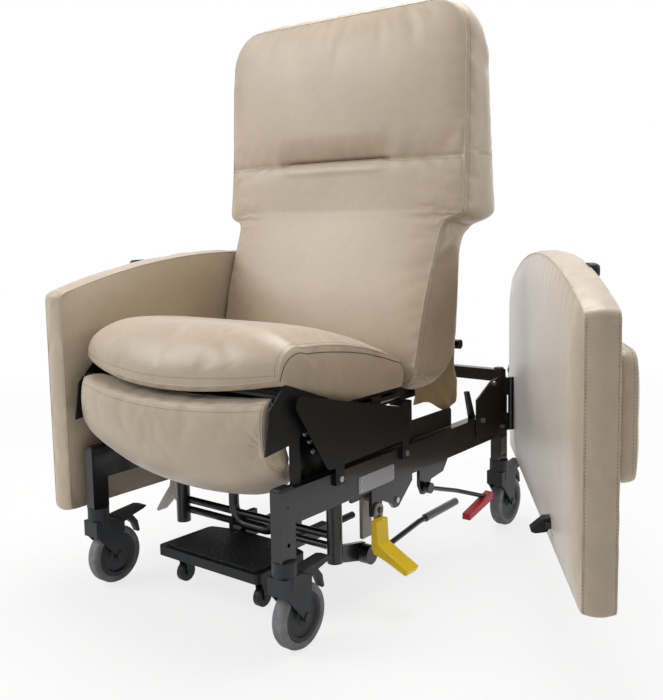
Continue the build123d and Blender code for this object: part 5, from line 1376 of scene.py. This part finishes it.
class RECLINER_PG_colours(bpy.types.PropertyGroup):
    """Colours of the finishes."""

    vinyl: colour_setting("Vinyl", "the upholstery", (0.715, 0.65, 0.565))
    skirt: colour_setting("Skirt", "the cloth skirt", (0.66, 0.58, 0.44))
    thread: colour_setting("Thread", "the stitches", (0.55, 0.49, 0.41))
    # Colour of the painted shadow in the seat's side seams.
    seam: colour_setting("Seam", "the depth of the seams", (0.30, 0.25, 0.19))
    frame: colour_setting("Frame", "the powder coat", (0.045, 0.052, 0.062))
    black_plastic: colour_setting("Black plastic", "caps, guards and latches", (0.035, 0.045, 0.058))
    caster: colour_setting("Caster plastic", "forks and brake pedals", (0.17, 0.178, 0.19))
    hub: colour_setting("Hub plastic", "the wheels' hubs", (0.12, 0.13, 0.145))
    tyre: colour_setting("Tyre", "the tyres", (0.50, 0.50, 0.51))
    tread: colour_setting("Tread", "the footplate's tread", (0.07, 0.075, 0.08))
    yellow: colour_setting("Yellow pedal", "the yellow pedal", (1.0, 0.82, 0.10))
    red: colour_setting("Red pedal", "the red pedal", (0.80, 0.13, 0.20))
    lever: colour_setting("Levers", "the painted levers", (0.56, 0.545, 0.505))
    steel: colour_setting("Bolts", "bolts and pins", (0.75, 0.75, 0.75))
    plate: colour_setting("Plate", "the riveted plate", (0.68, 0.68, 0.70))
    grip: colour_setting("Grip", "the foot rod's sleeve", (0.52, 0.53, 0.545))


class RECLINER_PG_padding(bpy.types.PropertyGroup):
    """How the cushions swell."""

    pressure: number_setting("Pressure", "Pressure inside the covers", 4.0, subtype="UNSIGNED")
    seat_cap: number_setting("Seat cap", "Furthest that the seat's cover moves", 0.007, unit="LENGTH")
    back_cap: number_setting("Back cap", "Furthest that the back's cover moves", 0.010, unit="LENGTH")
    legrest_cap: number_setting("Legrest cap", "Furthest that the legrest's cover moves", 0.010,
                                unit="LENGTH")
    arm_cap: number_setting("Arm cap", "Furthest that the arms' covers move", 0.006, unit="LENGTH")
    pad_cap: number_setting("Bolster cap", "Furthest that the bolsters' covers move", 0.006, unit="LENGTH")


class RECLINER_PG_stage(bpy.types.PropertyGroup):
    """Floor and light."""

    floor_colour: colour_setting("Floor", "the floor", (0.80, 0.80, 0.80))
    floor_glow: number_setting("Floor glow", "Share of plain white that the camera sees", 0.78,
                               subtype="FACTOR", max=1.0)
    sky: number_setting("Sky", "Strength of the sky's light", 0.30, subtype="UNSIGNED")
    key: number_setting("Key", "Power of the key lamp", 80.0, unit="POWER")
    top: number_setting("Top", "Power of the top lamp", 78.0, unit="POWER")
    side: number_setting("Side", "Power of the side lamp", 15.0, unit="POWER")


class RECLINER_OT_finishes(bpy.types.Operator):
    """Make every finish and give the frame's nodes theirs"""

    bl_idname = "recliner.finishes"
    bl_label = "Finishes"

    def execute(self, context):
        make_finishes(context.scene.recliner_colours)
        for name, node in frame["nodes"].items():
            finish_node(name, node)
        return {"FINISHED"}


class RECLINER_OT_seat(bpy.types.Operator):
    """Make the seat cushion with its seams"""

    bl_idname = "recliner.seat"
    bl_label = "Seat cushion"

    def execute(self, context):
        build_seat(context.scene.recliner_padding)
        return {"FINISHED"}


class RECLINER_OT_legrest(bpy.types.Operator):
    """Make the legrest pad with its seams"""

    bl_idname = "recliner.legrest"
    bl_label = "Legrest pad"

    def execute(self, context):
        build_legrest(context.scene.recliner_padding)
        return {"FINISHED"}


class RECLINER_OT_back(bpy.types.Operator):
    """Make the back cushion with its cross seam"""

    bl_idname = "recliner.back"
    bl_label = "Back cushion"

    def execute(self, context):
        build_back(context.scene.recliner_padding)
        return {"FINISHED"}


class RECLINER_OT_arms(bpy.types.Operator):
    """Make both padded arms with their bolsters"""

    bl_idname = "recliner.arms"
    bl_label = "Arms"

    def execute(self, context):
        for right in (True, False):
            build_arm(context.scene.recliner_padding, right)
        return {"FINISHED"}


class RECLINER_OT_skirt(bpy.types.Operator):
    """Hang the cloth skirt below the back"""

    bl_idname = "recliner.skirt"
    bl_label = "Skirt"

    def execute(self, context):
        build_skirt()
        return {"FINISHED"}


class RECLINER_OT_plates(bpy.types.Operator):
    """Make the inner plates and strips with their screws"""

    bl_idname = "recliner.plates"
    bl_label = "Inner plates"

    def execute(self, context):
        build_plates()
        return {"FINISHED"}


class RECLINER_OT_stage(bpy.types.Operator):
    """Set up the floor, the lamps and the camera"""

    bl_idname = "recliner.stage"
    bl_label = "Stage"

    def execute(self, context):
        stage_camera()
        stage_floor(context.scene.recliner_stage)
        stage_lights(context.scene.recliner_stage)
        return {"FINISHED"}


operators = (RECLINER_OT_finishes, RECLINER_OT_seat, RECLINER_OT_legrest, RECLINER_OT_back, RECLINER_OT_arms,
             RECLINER_OT_skirt, RECLINER_OT_plates, RECLINER_OT_stage)
setting_groups = {
    "recliner_colours": RECLINER_PG_colours,
    "recliner_padding": RECLINER_PG_padding,
    "recliner_stage": RECLINER_PG_stage,
}


class RECLINER_PT_panel(bpy.types.Panel):
    """Lists the recliner's settings and the operators that build it"""

    bl_label = "Clinical recliner"
    bl_space_type = "VIEW_3D"
    bl_region_type = "UI"
    bl_category = "Recliner"

    def draw(self, context):
        layout = self.layout
        for name, group in setting_groups.items():
            box = layout.box()
            for setting in group.__annotations__:
                box.prop(getattr(context.scene, name), setting)
        for operator in operators:
            layout.operator(operator.bl_idname)


classes = (*setting_groups.values(), *operators, RECLINER_PT_panel)


def register():
    """Register the settings, the operators and the panel."""
    for made in classes:
        bpy.utils.register_class(made)
    for name, group in setting_groups.items():
        setattr(bpy.types.Scene, name, bpy.props.PointerProperty(type=group))


def unregister():
    """Take away again what register adds."""
    for name in setting_groups:
        delattr(bpy.types.Scene, name)
    for made in reversed(classes):
        bpy.utils.unregister_class(made)


def main():
    """Build everything in order."""
    register()
    for operator in operators:
        category, name = operator.bl_idname.split(".")
        getattr(getattr(bpy.ops, category), name)()


if __name__ == "__main__":
    main()
